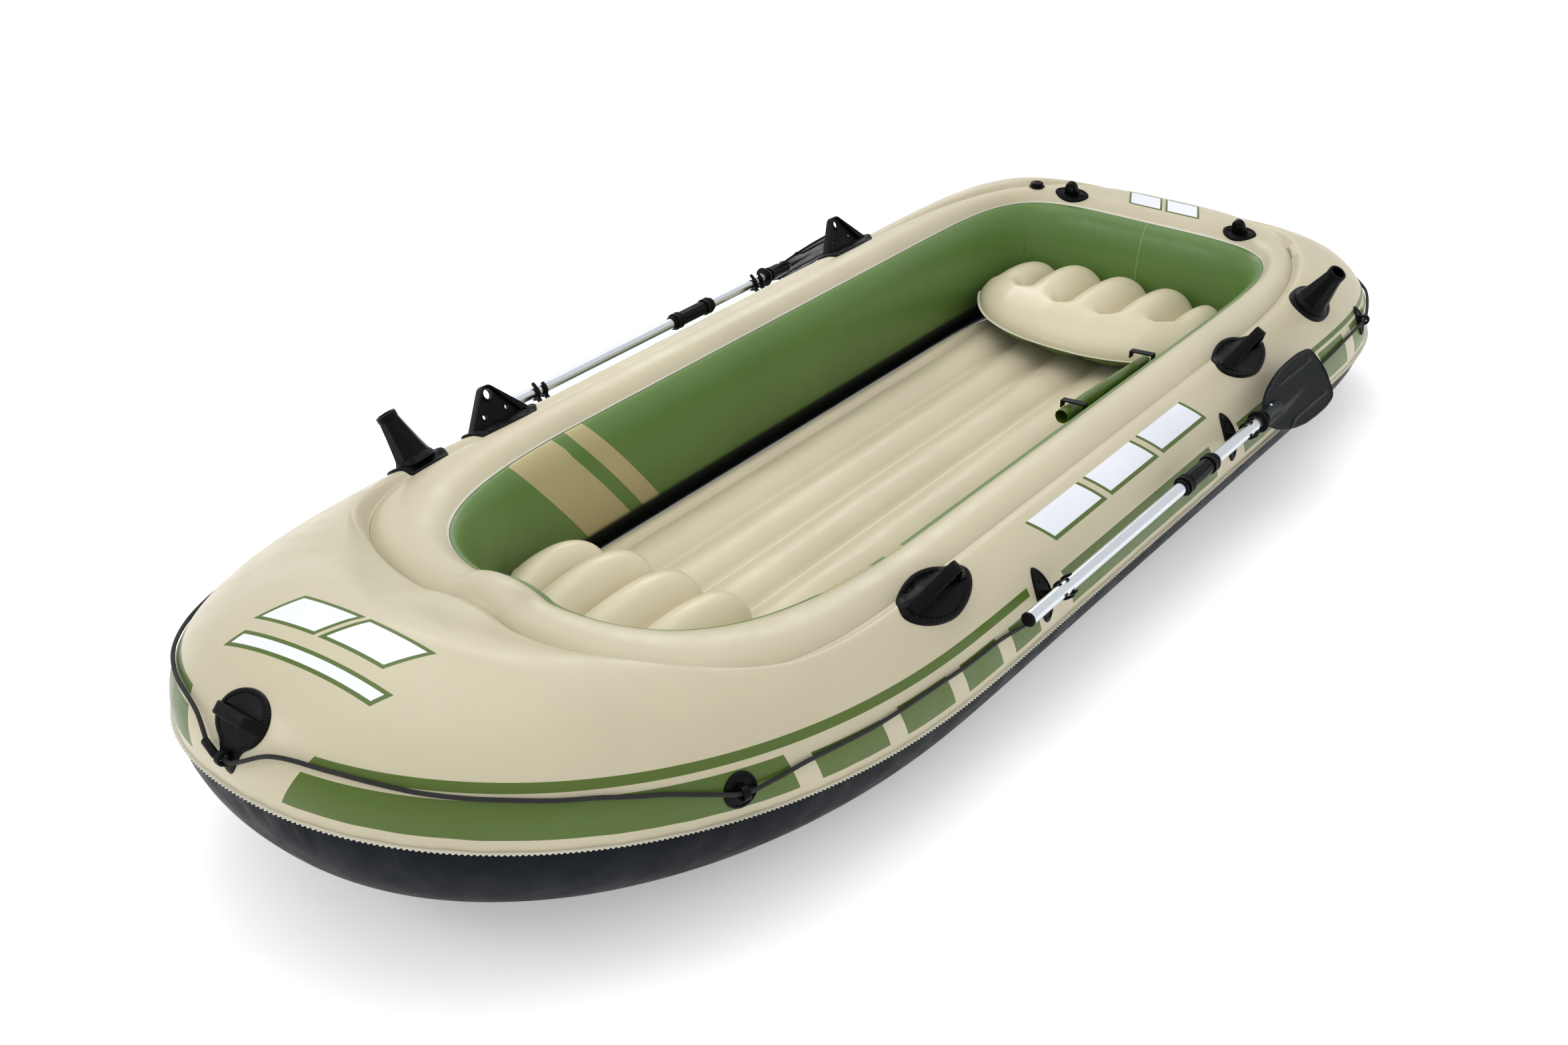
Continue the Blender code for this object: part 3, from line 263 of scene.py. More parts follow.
def puckers(m, near, far, size):
    """Small upright wrinkles beside the seam, from the angle near to the angle far."""
    angle = m.lay()[1]
    x = m.lay()[0]
    ends = m.ramp(m.math("ABSOLUTE", x), 0.7, 1.4, 0.30, 1.0)
    folds = m.noise(34, 2, (1, 1, 0.10), 0.4)
    share = m.math("MULTIPLY", m.ramp(angle, near, far, 1.0, 0.0), ends)
    m.bump(m.math("MULTIPLY", folds, share), size)


def upper_material():
    m = pvc("hull_cream", CREAM)
    x, angle, _ = m.lay()
    solid = [m.block(x, angle, b, a, 0.0, hi, BLOCK_LEAN) for a, b, hi in BLOCKS]
    solid += [m.block(x, angle, b, a, lo, hi) for a, b, lo, hi in STRIPES]
    # the prints stop short of the handle on a leaning line
    open_bow = m.math("ABSOLUTE", m.place()[1])
    open_bow = m.math("GREATER_THAN", open_bow, m.math("MULTIPLY_ADD", angle, BOW_GAP_LEAN, BOW_GAP))
    ring = m.math("MULTIPLY", m.either(solid), m.math("MAXIMUM", open_bow, m.math("LESS_THAN", x, 0.0)))
    solid, white = [ring], []
    place = m.place()
    px, py = place[0], place[1]
    # plain bars where the prints are on the side tops
    for a, b in SIDE_BARS:
        solid.append(m.block(x, angle, b - 0.010, a + 0.010, 40.2, 65.8, 0.0022, 53.0))
        white.append(m.block(x, angle, b, a, 42.8, 63.2, 0.0022, 53.0))
    # and on the bow deck
    swept = m.math("MULTIPLY_ADD", py, 0.10, px)
    for a, b, lo, hi in BOW_BARS:
        solid.append(m.block(py, swept, a - 0.009, b + 0.009, lo - 0.008, hi + 0.008, -0.40, lo))
        white.append(m.block(py, swept, a, b, lo, hi, -0.40, lo))
    m.paint(m.either(solid), GREEN)
    m.paint(m.either(white), WHITE)
    puckers(m, -5.5, 5.0, 0.0016)
    return m.done()


def lower_material():
    m = Mat("hull_navy", NAVY, 0.46, specular=0.07)
    m.bump(m.noise(60, 3), 0.0003, 0.6)
    puckers(m, -5.0, -26.0, 0.0040)
    return m.done(vary=0.12)


def inner_material():
    """Cream crown, a pale weld and a dark line, then the green wall with its tan bands and painted shade at
    its foot.
    """
    m = pvc("inner_chamber", CREAM)
    x, row, height = m.lay()
    m.paint(m.ramp(row, 0.965, 0.985), PALE)
    m.paint(m.math("GREATER_THAN", row, 1.0), WALL_GREEN)
    m.paint(m.math("COMPARE", row, 1.004, 0.006), (0.02, 0.03, 0.012))
    wall = m.math("GREATER_THAN", row, 1.012)
    bands = [m.block(x, height, a, b, 0.0, 0.45, WALL_BAND_LEAN) for a, b in WALL_BANDS]
    m.paint(m.math("MULTIPLY", m.either(bands), wall), TAN)
    px, py, pz = m.place()
    # painted shade: the wall's foot is painted near black where it turns away into shadow above the floor
    m.paint(m.math("MULTIPLY", m.ramp(pz, *WALL_SHADE_Z), wall), (0.004, 0.006, 0.005))
    # plain bars where the print is on the stern deck
    crown = m.math("LESS_THAN", row, 0.96)
    for grow, colour in ((0.007, GREEN), (0.0, WHITE)):
        bars = [m.block(py, px, a - grow, b + grow, -1.578 - grow, -1.505 + grow, 0.5, -1.54)
                for a, b in STERN_BARS]
        m.paint(m.math("MULTIPLY", m.either(bars), crown), colour)
    stern = m.math("LESS_THAN", px, -1.0)
    joint = m.math("MULTIPLY", m.math("COMPARE", py, 0.0, 0.0022), m.math("MULTIPLY", stern, wall))
    m.paint(joint, (0.16, 0.27, 0.075))
    m.bump(joint, 0.0008)
    return m.done()


def cushion_material(name):
    m = pvc(name, SOFT_CREAM, 0.33)
    weld, _, side = m.lay()
    m.paint(m.math("LESS_THAN", side, 0.0), GREEN)
    line = m.ramp(weld, 0.0012, 0.0045, 1.0, 0.0)
    m.paint(m.math("MULTIPLY", line, 0.30), (0.30, 0.235, 0.15))
    m.bump(m.noise(30, 2), 0.0006, 0.5)
    return m.done()


def mat_material():
    m = pvc("floor_cream", SOFT_CREAM, 0.38)
    weld = m.lay()[0]
    m.paint(m.ramp(weld, 0.0010, 0.0050, 0.35, 0.0), (0.26, 0.20, 0.12))
    m.bump(m.ramp(weld, 0.0010, 0.0030), 0.0006)
    return m.done()


def plastic(name, colour=BLACK, roughness=0.40, grain=(650, 0.00010)):
    m = Mat(name, colour, roughness, specular=0.09)
    m.bump(m.noise(90, 3), 0.0003, 0.5)
    return m.done(grain=grain, vary=0.18, uneven=0.09)


def metal(name):
    m = Mat(name, SILVER, 0.24, metallic=1.0)
    m.bump(m.noise(260, 2, (0.03, 1, 1)), 0.00005, 0.7)
    return m.done(vary=0.03, uneven=0.05)


def rope_material():
    m = Mat("rope_black", (0.010, 0.010, 0.011), 0.62, specular=0.35)
    along, turn, _ = m.lay()
    left = m.math("SINE", m.math("MULTIPLY_ADD", along, 1150.0, m.math("MULTIPLY", turn, 4.0)))
    right = m.math("SINE", m.math("MULTIPLY_ADD", along, -1150.0, m.math("MULTIPLY", turn, 4.0)))
    weave = m.math("MAXIMUM", left, right)
    # painted shade: the grooves between the braid's strands are darkened
    m.paint(m.ramp(weave, -0.6, 0.3, 0.8, 0.0), (0.002, 0.002, 0.002))
    m.bump(weave, 0.0006, 0.8)
    return m.done(grain=(2500, 0.0002), vary=0.2)


# ---- mesh building ---------------------------------------------------------
class Shell:
    """Points and faces of one closed shape in its own frame, with its material's numbers."""

    def __init__(self, points, faces, lay=None):
        self.points, self.faces, self.lay = points, faces, lay

    def moved(self, matrix):
        return Shell([matrix @ Vector(p) for p in self.points], self.faces, self.lay)


def make(name, body, material, shells, replaced=(), sharp=38.0):
    """One piece out of closed shells."""
    points, faces, lay = [], [], []
    for shell in shells:
        start = len(points)
        points += [Vector(p) for p in shell.points]
        faces += [tuple(i + start for i in face) for face in shell.faces]
        lay += shell.lay or [(0, 0, 0)] * len(shell.points)
    mesh = bpy.data.meshes.new(name)
    mesh.from_pydata(points, [], faces)
    store = mesh.attributes.new("lay", "FLOAT_VECTOR", "POINT")
    store.data.foreach_set("vector", [c for row in lay for c in row])
    bm = bmesh.new()
    bm.from_mesh(mesh)
    bmesh.ops.recalc_face_normals(bm, faces=bm.faces)
    bm.to_mesh(mesh)
    bm.free()
    mesh.materials.append(material)
    mesh.shade_smooth()
    if sharp:
        mesh.set_sharp_from_angle(angle=math.radians(sharp))
    obj = bpy.data.objects.new(name, mesh)
    bpy.context.scene.collection.objects.link(obj)
    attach(obj, body)
    if replaced:
        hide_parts(*replaced)
    return obj


def grid_faces(rows, columns, wrap_rows=False, wrap_columns=False):
    faces = []
    for i in range(rows if wrap_rows else rows - 1):
        for j in range(columns if wrap_columns else columns - 1):
            a, b = i * columns + j, i * columns + (j + 1) % columns
            c = ((i + 1) % rows) * columns
            faces.append((a, b, c + (j + 1) % columns, c + j))
    return faces


def lathe(loop, steps=48, flutes=None):
    """A closed loop of (radius, z) turned round Z. flutes is (count, depth, low z, high z)."""
    rows = []
    for i in range(steps):
        angle = 2 * math.pi * i / steps
        for r, z in loop:
            if flutes and r > 0 and flutes[2] < z < flutes[3]:
                r -= flutes[1] * (0.5 - 0.5 * math.cos(flutes[0] * angle))
            rows.append((r * math.cos(angle), r * math.sin(angle), z))
    bm = bmesh.new()
    verts = [bm.verts.new(p) for p in rows]
    for face in grid_faces(steps, len(loop), True, True):
        ring = [verts[k] for k in face]
        if len({tuple(round(c, 7) for c in v.co) for v in ring}) > 2:
            bm.faces.new(ring)
    bmesh.ops.remove_doubles(bm, verts=bm.verts, dist=1e-6)
    bmesh.ops.dissolve_degenerate(bm, edges=bm.edges, dist=1e-7)
    return from_bmesh(bm)


def from_bmesh(bm):
    bm.verts.index_update()
    shell = Shell([v.co.copy() for v in bm.verts], [tuple(v.index for v in f.verts) for f in bm.faces])
    bm.free()
    return shell


def plate(loops, thickness, bevel=0.0012, resolution=2):
    """A flat plate with holes and rounded edges, in the XY plane."""
    curve = bpy.data.curves.new("plate", "CURVE")
    curve.dimensions = "2D"
    curve.fill_mode = "BOTH"
    curve.extrude = thickness / 2 - bevel
    curve.bevel_depth = bevel
    curve.bevel_resolution = resolution
    curve.offset = -bevel
    for loop in loops:
        spline = curve.splines.new("POLY")
        spline.points.add(len(loop) - 1)
        for point, (x, y) in zip(spline.points, loop):
            point.co = (x, y, 0, 1)
        spline.use_cyclic_u = True
    obj = bpy.data.objects.new("plate", curve)
    bpy.context.scene.collection.objects.link(obj)
    bpy.context.view_layer.update()
    mesh = bpy.data.meshes.new_from_object(obj.evaluated_get(bpy.context.evaluated_depsgraph_get()))
    bpy.data.objects.remove(obj, do_unlink=True)
    bm = bmesh.new()
    bm.from_mesh(mesh)
    bpy.data.meshes.remove(mesh)
    bmesh.ops.remove_doubles(bm, verts=bm.verts, dist=1e-5)
    return from_bmesh(bm)


def basis(origin, x_axis, z_axis):
    """A frame at origin with its Z along z_axis and its X near x_axis."""
    z = Vector(z_axis).normalized()
    y = z.cross(Vector(x_axis)).normalized()
    x = y.cross(z)
    matrix = Matrix((x, y, z)).transposed().to_4x4()
    matrix.translation = origin
    return matrix


def circle(x, y, radius, count=32, start=0.0, sweep=2 * math.pi):
    steps = count if sweep > 6.28 else count - 1
    return [(x + radius * math.cos(start + sweep * i / steps),
             y + radius * math.sin(start + sweep * i / steps)) for i in range(count)]


def rounded(points):
    """The outline round a few circles, each given as (x, y, radius)."""
    cloud = [Vector(p) for x, y, r in points for p in circle(x, y, r, 28)]
    return [tuple(cloud[i]) for i in geometry.convex_hull_2d(cloud)]


def stood(outline, level):
    """The part of an outline that is above a level."""
    kept = []
    for (ax, ay), (bx, by) in zip(outline, outline[1:] + outline[:1]):
        if ay >= level:
            kept.append((ax, ay))
        if (ay - level) * (by - level) < 0:
            kept.append((ax + (bx - ax) * (level - ay) / (by - ay), level))
    return kept


# ---- the hull's shape, as in the CAD ---------------------------------------
HULL_PLAN = (0.709, -1.75, 1.75, 0.75, 1.20, 3.68, 2.19)
VALLEY_PLAN = (0.561, -1.636, 1.205, 0.90, 0.53, 2.8, 2.94)
EDGE_PLAN = (0.451, -1.445, 1.092, 0.66, 0.70, 5.0, 2.8)
FLOOR_PLAN = (0.436, -1.428, 1.074, 0.64, 0.69, 4.8, 2.8)
MAT_PLAN = (0.394, -1.385, 1.025, 0.55, 0.66, 4.4, 2.8)
STATIONS = 250
RELAX = 50
TUBE_REACH, TUBE_LOW, TUBE_UP = 0.226, 0.202, 0.202
BOW_FROM, BOW_LIFT, BOW_DEEPER, BOW_FLATTER, BOW_REACH = 0.393, 0.087, 0.109, -0.030, 0.040
SEAM_ANGLE = -0.088
VALLEY_Z, VALLEY_RISE, EDGE_Z, EDGE_RISE = 0.380, 0.075, 0.373, 0.070
INNER_CROWN, WALL_BULGE, WALL_POWER, WALL_FOOT_Z = 0.026, 0.054, 2.0, 0.022
NOSE_SPREAD = 0.20
ROPE_OFF, ROPE_R = 0.0144, 0.004


def even(path, count):
    """The path again, as count equal steps."""
    reach = [0.0]
    for (ax, ay), (bx, by) in zip(path, path[1:]):
        reach.append(reach[-1] + math.hypot(bx - ax, by - ay))
    out, j = [], 0
    for i in range(count + 1):
        want = reach[-1] * i / count
        while j < len(path) - 2 and reach[j + 1] < want:
            j += 1
        t = (want - reach[j]) / max(reach[j + 1] - reach[j], 1e-9)
        out.append((path[j][0] + t * (path[j + 1][0] - path[j][0]),
                    path[j][1] + t * (path[j + 1][1] - path[j][1])))
    return out


def plan_ring(plan, count):
    """A closed outline seen from above: round bow and stern, straight sides."""
    half, stern, bow, stern_len, bow_len, stern_pow, bow_pow = plan
    fine = max(240, 3 * count)
    bow_arc, stern_arc = [], []
    for i in range(fine + 1):
        angle = 0.5 * math.pi * i / fine
        c, s = max(math.cos(angle), 0.0), math.sin(angle)
        bow_arc.append((bow - bow_len + bow_len * c ** (2 / bow_pow), half * s ** (2 / bow_pow)))
        stern_arc.append((stern + stern_len - stern_len * c ** (2 / stern_pow),
                          half * s ** (2 / stern_pow)))
    stern_arc.reverse()
    n_bow, n_stern = round(0.42 * count), round(0.34 * count)
    n_side = count - n_bow - n_stern
    port = even(bow_arc, n_bow)
    a, b = bow_arc[-1], stern_arc[0]
    port += [(a[0] + (b[0] - a[0]) * i / n_side, half) for i in range(1, n_side)]
    port += even(stern_arc, n_stern)
    return port + [(x, -y) for x, y in reversed(port[1:-1])]


def crossing(origin, direction, curve):
    """How far along a direction an outline is first crossed."""
    best = None
    dx, dy, ox, oy = direction.x, direction.y, origin.x, origin.y
    for (ax, ay), (bx, by) in zip(curve, curve[1:] + curve[:1]):
        ex, ey = bx - ax, by - ay
        det = ex * dy - ey * dx
        if abs(det) < 1e-12:
            continue
        s = (dx * (ay - oy) - dy * (ax - ox)) / det
        if -1e-9 <= s <= 1 + 1e-9:
            t = (ex * (ay - oy) - ey * (ax - ox)) / det
            if t > 0 and (best is None or t < best):
                best = t
    return best


def nearest(point, curve):
    """The point of an outline that is nearest."""
    best, size = None, 9e9
    px, py = point.x, point.y
    for (ax, ay), (bx, by) in zip(curve, curve[1:] + curve[:1]):
        ex, ey = bx - ax, by - ay
        t = min(max(((px - ax) * ex + (py - ay) * ey) / max(ex * ex + ey * ey, 1e-12), 0), 1)
        far = math.hypot(ax + ex * t - px, ay + ey * t - py)
        if far < size:
            best, size = Vector((ax + ex * t, ay + ey * t, 0)), far
    return best


def smooth(low, high, value):
    t = min(max((value - low) / (high - low), 0), 1)
    return t * t * (3 - 2 * t)


class Section:
    """One cut through the hull: heights over the distance d in from the widest line."""

    def __init__(self, before, outer, after, valley_curve, edge_curve):
        self.origin = Vector((outer[0], outer[1], 0))
        along = Vector((after[0] - before[0], after[1] - before[1], 0)).normalized()
        self.inward = Vector((-along.y, along.x, 0))
        self.valley = crossing(self.origin, self.inward, valley_curve)
        hit = self.origin + self.inward * self.valley
        if abs(hit.y) < NOSE_SPREAD * abs(outer[1]) and hit.x > 0:
            aim = Vector((hit.x, NOSE_SPREAD * outer[1], 0))
            self.inward = (aim - self.origin).normalized()
            self.valley = crossing(self.origin, self.inward, valley_curve)
        self.turn = self.origin + self.inward * self.valley
        foot = nearest(self.turn, edge_curve)
        self.edge = self.valley + (foot - self.turn).length
        self.deeper = (foot - self.turn).normalized()
        self.share = min(max((outer[0] - BOW_FROM) / (HULL_PLAN[2] - BOW_FROM), 0.0), 1.0) ** 2
        self.reach = TUBE_REACH + BOW_REACH * self.share
        self.low = TUBE_LOW + BOW_DEEPER * self.share
        self.up = TUBE_UP + BOW_FLATTER * self.share
        self.mid = self.low + BOW_LIFT * self.share
        self.valley_z = VALLEY_Z + VALLEY_RISE * self.share
        self.edge_z = EDGE_Z + EDGE_RISE * self.share
        self.seam_z = self.mid + self.low * math.sin(SEAM_ANGLE)
        self.seam_d = self.reach * (1 - math.cos(SEAM_ANGLE))

    def at(self, d, z):
        point = self.origin + self.inward * d
        if d > self.valley:
            point = self.turn + self.deeper * (d - self.valley)
        return Vector((point.x, point.y, z))

    def top(self, d):
        if d < self.reach:
            crown = self.mid + self.up * math.sqrt(max(1 - (1 - d / self.reach) ** 2, 0))
        else:
            t = (d - self.reach) / max(self.valley - self.reach, 1e-6)
            crown = self.mid + self.up
            crown -= (crown - self.valley_z - 0.014) * (0.5 - 0.5 * math.cos(math.pi * min(t, 1)))
        if self.valley < self.reach:
            rim = self.mid + self.up * math.sqrt(1 - (1 - self.valley / self.reach) ** 2)
        else:
            rim = self.valley_z + 0.014
        return crown - (rim - self.valley_z) * math.exp(-((self.valley - d) / 0.016) ** 2)

    def bottom(self, d):
        t = min(d / self.reach, 1)
        return self.mid - self.low * math.sqrt(max(1 - (1 - t) ** 2, 0))

    def crown(self, d):
        s = (d - self.valley) / (self.edge - self.valley)
        bulge = INNER_CROWN * (1 - abs(2 * s - 1) ** 2.6)
        return self.valley_z + (self.edge_z - self.valley_z) * s + bulge

    def skin(self, d):
        height = self.top if d < self.valley else self.crown
        slope = (height(d + 0.002) - height(d - 0.002)) / 0.004
        way = self.inward if d < self.valley else self.deeper
        normal = (Vector((0, 0, 1)) - way * slope).normalized()
        return self.at(d, height(d)), normal

    def keel(self, d):
        if self.valley < self.reach and d < self.reach:
            return self.bottom(d)
        if self.valley < self.reach:
            return WALL_FOOT_Z * ((d - self.reach) / (self.edge - self.reach)) ** 2
        t = (d - self.valley) / (self.edge - self.valley)
        low = self.bottom(self.reach)
        return low + (WALL_FOOT_Z - low) * t * t * (3 - 2 * t)

    def pucker(self, angle, size, spread):
        """A point of the tube, moved in or out a little beside the seam, with its numbers."""
        half = self.low if angle < 0 else self.up
        d = self.reach * (1 - math.cos(angle))
        point = self.at(d, self.mid + half * math.sin(angle))
        off = math.degrees(angle - SEAM_ANGLE)
        bend = 0.35 + 0.65 * min(1, abs(self.origin.x) / 1.3) ** 3
        fold = noise.noise(Vector((point.x * 24, point.y * 24, point.z * 3)))
        move = size * bend * fold * math.exp(-(off / spread) ** 2)
        point -= self.inward * (math.cos(angle) * move)
        point.z += math.sin(angle) * move
        return point, (self.origin.x, math.degrees(angle), d)

    def lower_row(self):
        start = math.asin((self.seam_z - 0.0006 - self.mid) / self.low)
        edge = self.valley - 0.0002
        stop = -math.acos(max(1 - edge / self.reach, 0.0)) if edge < self.reach else -math.pi / 2
        row = [self.pucker(start + (stop - start) * (i / 34) ** 1.15, 0.0042, 14) for i in range(35)]
        last = row[-1][0].z + 0.0001
        row.append((self.at(edge, last), (0, -90, 0)))
        row.append((self.at(edge, self.seam_z - 0.0006), (0, -90, 0)))
        return row

    def upper_row(self):
        start = math.asin((self.seam_z + 0.0006 - self.mid) / self.low)
        edge = self.valley - 0.0002
        last = edge - 0.040
        stop = math.acos(1 - last / self.reach) if last < self.reach else math.pi / 2
        row = [self.pucker(start + (stop - start) * (i / 40) ** 1.15, 0.0022, 7) for i in range(41)]
        begin = self.reach * (1 - math.cos(stop))
        for i in range(1, 13):
            d = begin + (last - begin) * i / 12 if last > begin + 0.004 else begin + 0.0003 * i
            row.append((self.at(d, self.top(d)), (self.origin.x, 90 + 100 * d, d)))
        for i in range(1, 12):
            d = last + 0.0036 + (edge - last - 0.0036) * (1 - (1 - i / 11) ** 1.3)
            row.append((self.at(d, self.top(d)), (self.origin.x, 140 + i, d)))
        row.append((self.at(edge, self.seam_z + 0.0006), (0, 200, 0)))
        return row

    def inner_row(self):
        start = self.valley + 0.0002
        row = []
        for i in range(29):
            t = 0.5 - 0.5 * math.cos(math.pi * i / 28)
            d = start + (self.edge - start) * t
            row.append((self.at(d, self.crown(d)), (self.origin.x, t, self.edge_z)))
        middle = 0.5 * (self.edge_z + WALL_FOOT_Z)
        size = self.edge_z - middle
        for i in range(1, 37):
            angle = 0.5 * math.pi - math.pi * i / 36
            s, c = math.sin(angle), max(math.cos(angle), 0)
            z = middle + size * math.copysign(abs(s) ** (2 / WALL_POWER), s)
            d = self.edge + WALL_BULGE * c ** (2 / WALL_POWER)
            point = self.at(d, z)
            row.append((point, (point.x, 1 + i / 36, z)))
        for i in (3, 2, 1, 0):
            d = start + (self.edge - start) * i / 4
            row.append((self.at(d, self.keel(d)), (0, 3, 0)))
        return row


class Hull:
    def __init__(self):
        self.valley_curve = plan_ring(VALLEY_PLAN, 300)
        self.edge_curve = plan_ring(EDGE_PLAN, 300)
        self.outline = plan_ring(HULL_PLAN, 400)
        self.tree = None
        outer = plan_ring(HULL_PLAN, STATIONS)
        self.sections = [self.cut(a, b, c) for a, b, c in
                         zip(outer[-1:] + outer[:-1], outer, outer[1:] + outer[:1])]

    def cut(self, before, here, after):
        return Section(before, here, after, self.valley_curve, self.edge_curve)

    def near(self, i):
        ring = self.outline
        return self.cut(ring[i - 1], ring[i], ring[(i + 1) % len(ring)])

    def section_near(self, x, side=1, off_centre=None):
        def miss(i):
            px, py = self.outline[i]
            if off_centre is None:
                return abs(px - x) + (9 if py * side < 0 else 0)
            return abs(py - off_centre) + (9 if (px - x) * x < -0.9 * abs(x) else 0)

        return self.near(min(range(len(self.outline)), key=miss))

    def place(self, section, d):
        point, normal = section.skin(d)
        along = Vector((-section.inward.y, section.inward.x, 0))
        if along.x < 0:
            along = -along
        return basis(point, along, normal)

    def ring(self, row_of):
        rows = [row_of(s) for s in self.sections]
        self.relax(rows, row_of)
        points = [p for row in rows for p, _ in row]
        lay = [n for row in rows for _, n in row]
        return Shell(points, grid_faces(len(rows), len(rows[0]), True, True), lay)

    def relax(self, rows, row_of):
        """Evens out the deck round the bow, where the sections fan out, along the hull."""
        if row_of is Section.lower_row:
            return
        bow = [smooth(0.45, 0.85, s.origin.x) for s in self.sections]
        count = len(rows)
        for j in range(len(rows[0]) - 1):
            if row_of is Section.upper_row:
                part = [w * smooth(48, 85, row[j][1][1]) for w, row in zip(bow, rows)]
            else:
                part = [w * smooth(1.3, 1.0, row[j][1][1]) for w, row in zip(bow, rows)]
            if max(part) == 0:
                continue
            line = [row[j][0] for row in rows]
            for _ in range(RELAX):
                line = [p if w == 0 else p.lerp((line[k - 1] + line[(k + 1) % count]) / 2, 0.6 * w)
                        for k, (p, w) in enumerate(zip(line, part))]
            for row, p in zip(rows, line):
                row[j] = (p, row[j][1])

    def drop(self, matrix, x, y):
        start = matrix @ Vector((x, y, 0.08))
        hit = self.tree.ray_cast(start, -matrix.col[2].to_3d(), 0.3)
        return 0.08 - hit[3] if hit[0] is not None else 0.0


def build_hull(hull):
    shells = {"hull_lower": hull.ring(Section.lower_row), "hull_upper": hull.ring(Section.upper_row),
              "inner_chamber": hull.ring(Section.inner_row)}
    skins = {"hull_lower": lower_material(), "hull_upper": upper_material(),
             "inner_chamber": inner_material()}
    for name, shell in shells.items():
        make(name + "_skin", "hull", skins[name], [shell], [name], sharp=50)
    bm = bmesh.new()
    for name in ("hull_upper_skin", "inner_chamber_skin"):
        bm.from_mesh(bpy.data.objects[name].data)
    hull.tree = BVHTree.FromBMesh(bm)
    bm.free()
    path = [(s.at(s.seam_d, s.seam_z), -s.inward) for s in hull.sections]
    make("seam_flange_pinked", "hull", pvc("seam_pale", PALE).done(),
         [pinked(path, 0.0096, 0.0080, 0.0042, 0.012, 0.0016, -0.0016)], ["seam_flange"])


def pinked(path, pitch, tip, notch, inside, thick, droop=0.0):
    """A closed flat strip with a zigzag outer edge, along points that each have a way out."""
    lengths = [(b[0] - a[0]).length for a, b in zip(path, path[1:] + path[:1])]
    count = 2 * round(sum(lengths) / pitch)
    step = sum(lengths) / count
    points, i, gone = [], 0, 0.0
    for k in range(count):
        want = k * step
        while gone + lengths[i] < want and i < len(path) - 1:
            gone += lengths[i]
            i += 1
        t = min((want - gone) / lengths[i], 1)
        (a, wa), (b, wb) = path[i], path[(i + 1) % len(path)]
        spot, way = a.lerp(b, t), wa.lerp(wb, t).normalized()
        reach = tip if k % 2 else notch
        down = Vector((0, 0, droop * reach / tip))
        corners = ((-inside, -1), (-inside, 1), (reach, 1), (reach, -1))
        for out, z in ((d, side * thick / 2) for d, side in corners):
            points.append(spot + way * out + Vector((0, 0, z)) + (down if out > 0 else Vector()))
    return Shell(points, grid_faces(count, 4, True, True))


# ---- soft pieces -----------------------------------------------------------
def plan_width(plan, x):
    """An outline's half width at x."""
    half, stern, bow, stern_len, bow_len, stern_pow, bow_pow = plan
    if x > bow - bow_len:
        t = min((x - (bow - bow_len)) / bow_len, 1)
        return half * (1 - t ** bow_pow) ** (1 / bow_pow)
    if x < stern + stern_len:
        t = min(((stern + stern_len) - x) / stern_len, 1)
        return half * (1 - t ** stern_pow) ** (1 / stern_pow)
    return half


def pillow(columns, rows, over, under):
    """A closed form out of two grids of points that share their border."""
    points, lay, index = [], [], {}
    for level, at in ((0, over), (1, under)):
        for i in range(columns + 1):
            for j in range(rows + 1):
                if level and (i in (0, columns) or j in (0, rows)):
                    index[level, i, j] = index[0, i, j]
                    continue
                index[level, i, j] = len(points)
                point, numbers = at(i, j)
                points.append(point)
                lay.append(numbers)
    faces = []
    for level in (0, 1):
        for i in range(columns):
            for j in range(rows):
                ring = [index[level, a, b] for a, b in ((i, j), (i + 1, j), (i + 1, j + 1), (i, j + 1))]
                faces.append(tuple(ring if level else reversed(ring)))
    return Shell(points, faces, lay)


MAT_BASE_Z, MAT_SEAM_Z, MAT_WELD_Z, MAT_TOP_Z, MAT_CHANNEL = 0.016, 0.045, 0.066, 0.101, 0.1325
BOTTOM_Z = 0.0135


def floor_mat():
    """The inflated floor: long round channels between welds, thinner towards its border."""
    half, stern, bow = MAT_PLAN[:3]
    columns, rows = 140, 90
    spans = []
    for i in range(columns + 1):
        y = half * math.sin(0.5 * math.pi * (2 * i / columns - 1))
        span = [x for x in (stern + (bow - stern) * k / 1200 for k in range(1201))
                if plan_width(MAT_PLAN, x) >= abs(y) - 1e-6]
        spans.append((y, min(span), max(span)))

    def plan(i, j):
        y, back, front = spans[i]
        t = 0.5 - 0.5 * math.cos(math.pi * j / rows)
        return back + (front - back) * t, y, t

    def over(i, j):
        x, y, t = plan(i, j)
        wave = abs(math.cos(math.pi * y / MAT_CHANNEL))
        ends = min(1, 11 * min(t, 1 - t)) ** 0.5
        sides = min(1, 8 * (1 - abs(y) / half)) ** 0.5
        border = i in (0, columns) or j in (0, rows)
        full = MAT_WELD_Z + (MAT_TOP_Z - MAT_WELD_Z) * wave ** 0.55 - MAT_SEAM_Z
        soft = 0.0016 * noise.noise(Vector((x * 7, y * 30, 1.7))) * wave
        z = MAT_SEAM_Z if border else MAT_SEAM_Z + (full + soft) * ends * sides
        weld = abs((y / MAT_CHANNEL) % 1 - 0.5) * MAT_CHANNEL
        return Vector((x, y, z)), (weld, t, 0)

    def under(i, j):
        x, y, t = plan(i, j)
        return Vector((x, y, MAT_BASE_Z)), (1, t, 0)

    mat = make("floor_mat_channels", "hull", mat_material(),
               [pillow(columns, rows, over, under)], ["floor_mat"], sharp=60)


def bottom_sheet():
    ring = plan_ring(FLOOR_PLAN, 90)
    m = Mat("bottom_navy", NAVY, 0.45)
    m.bump(m.noise(40, 3), 0.0006)
    make("bottom_sheet_skin", "hull", m.done(),
         [plate([ring], 0.0020, 0.0006, 1).moved(Matrix.Translation((0, 0, BOTTOM_Z)))],
         ["bottom_sheet"])


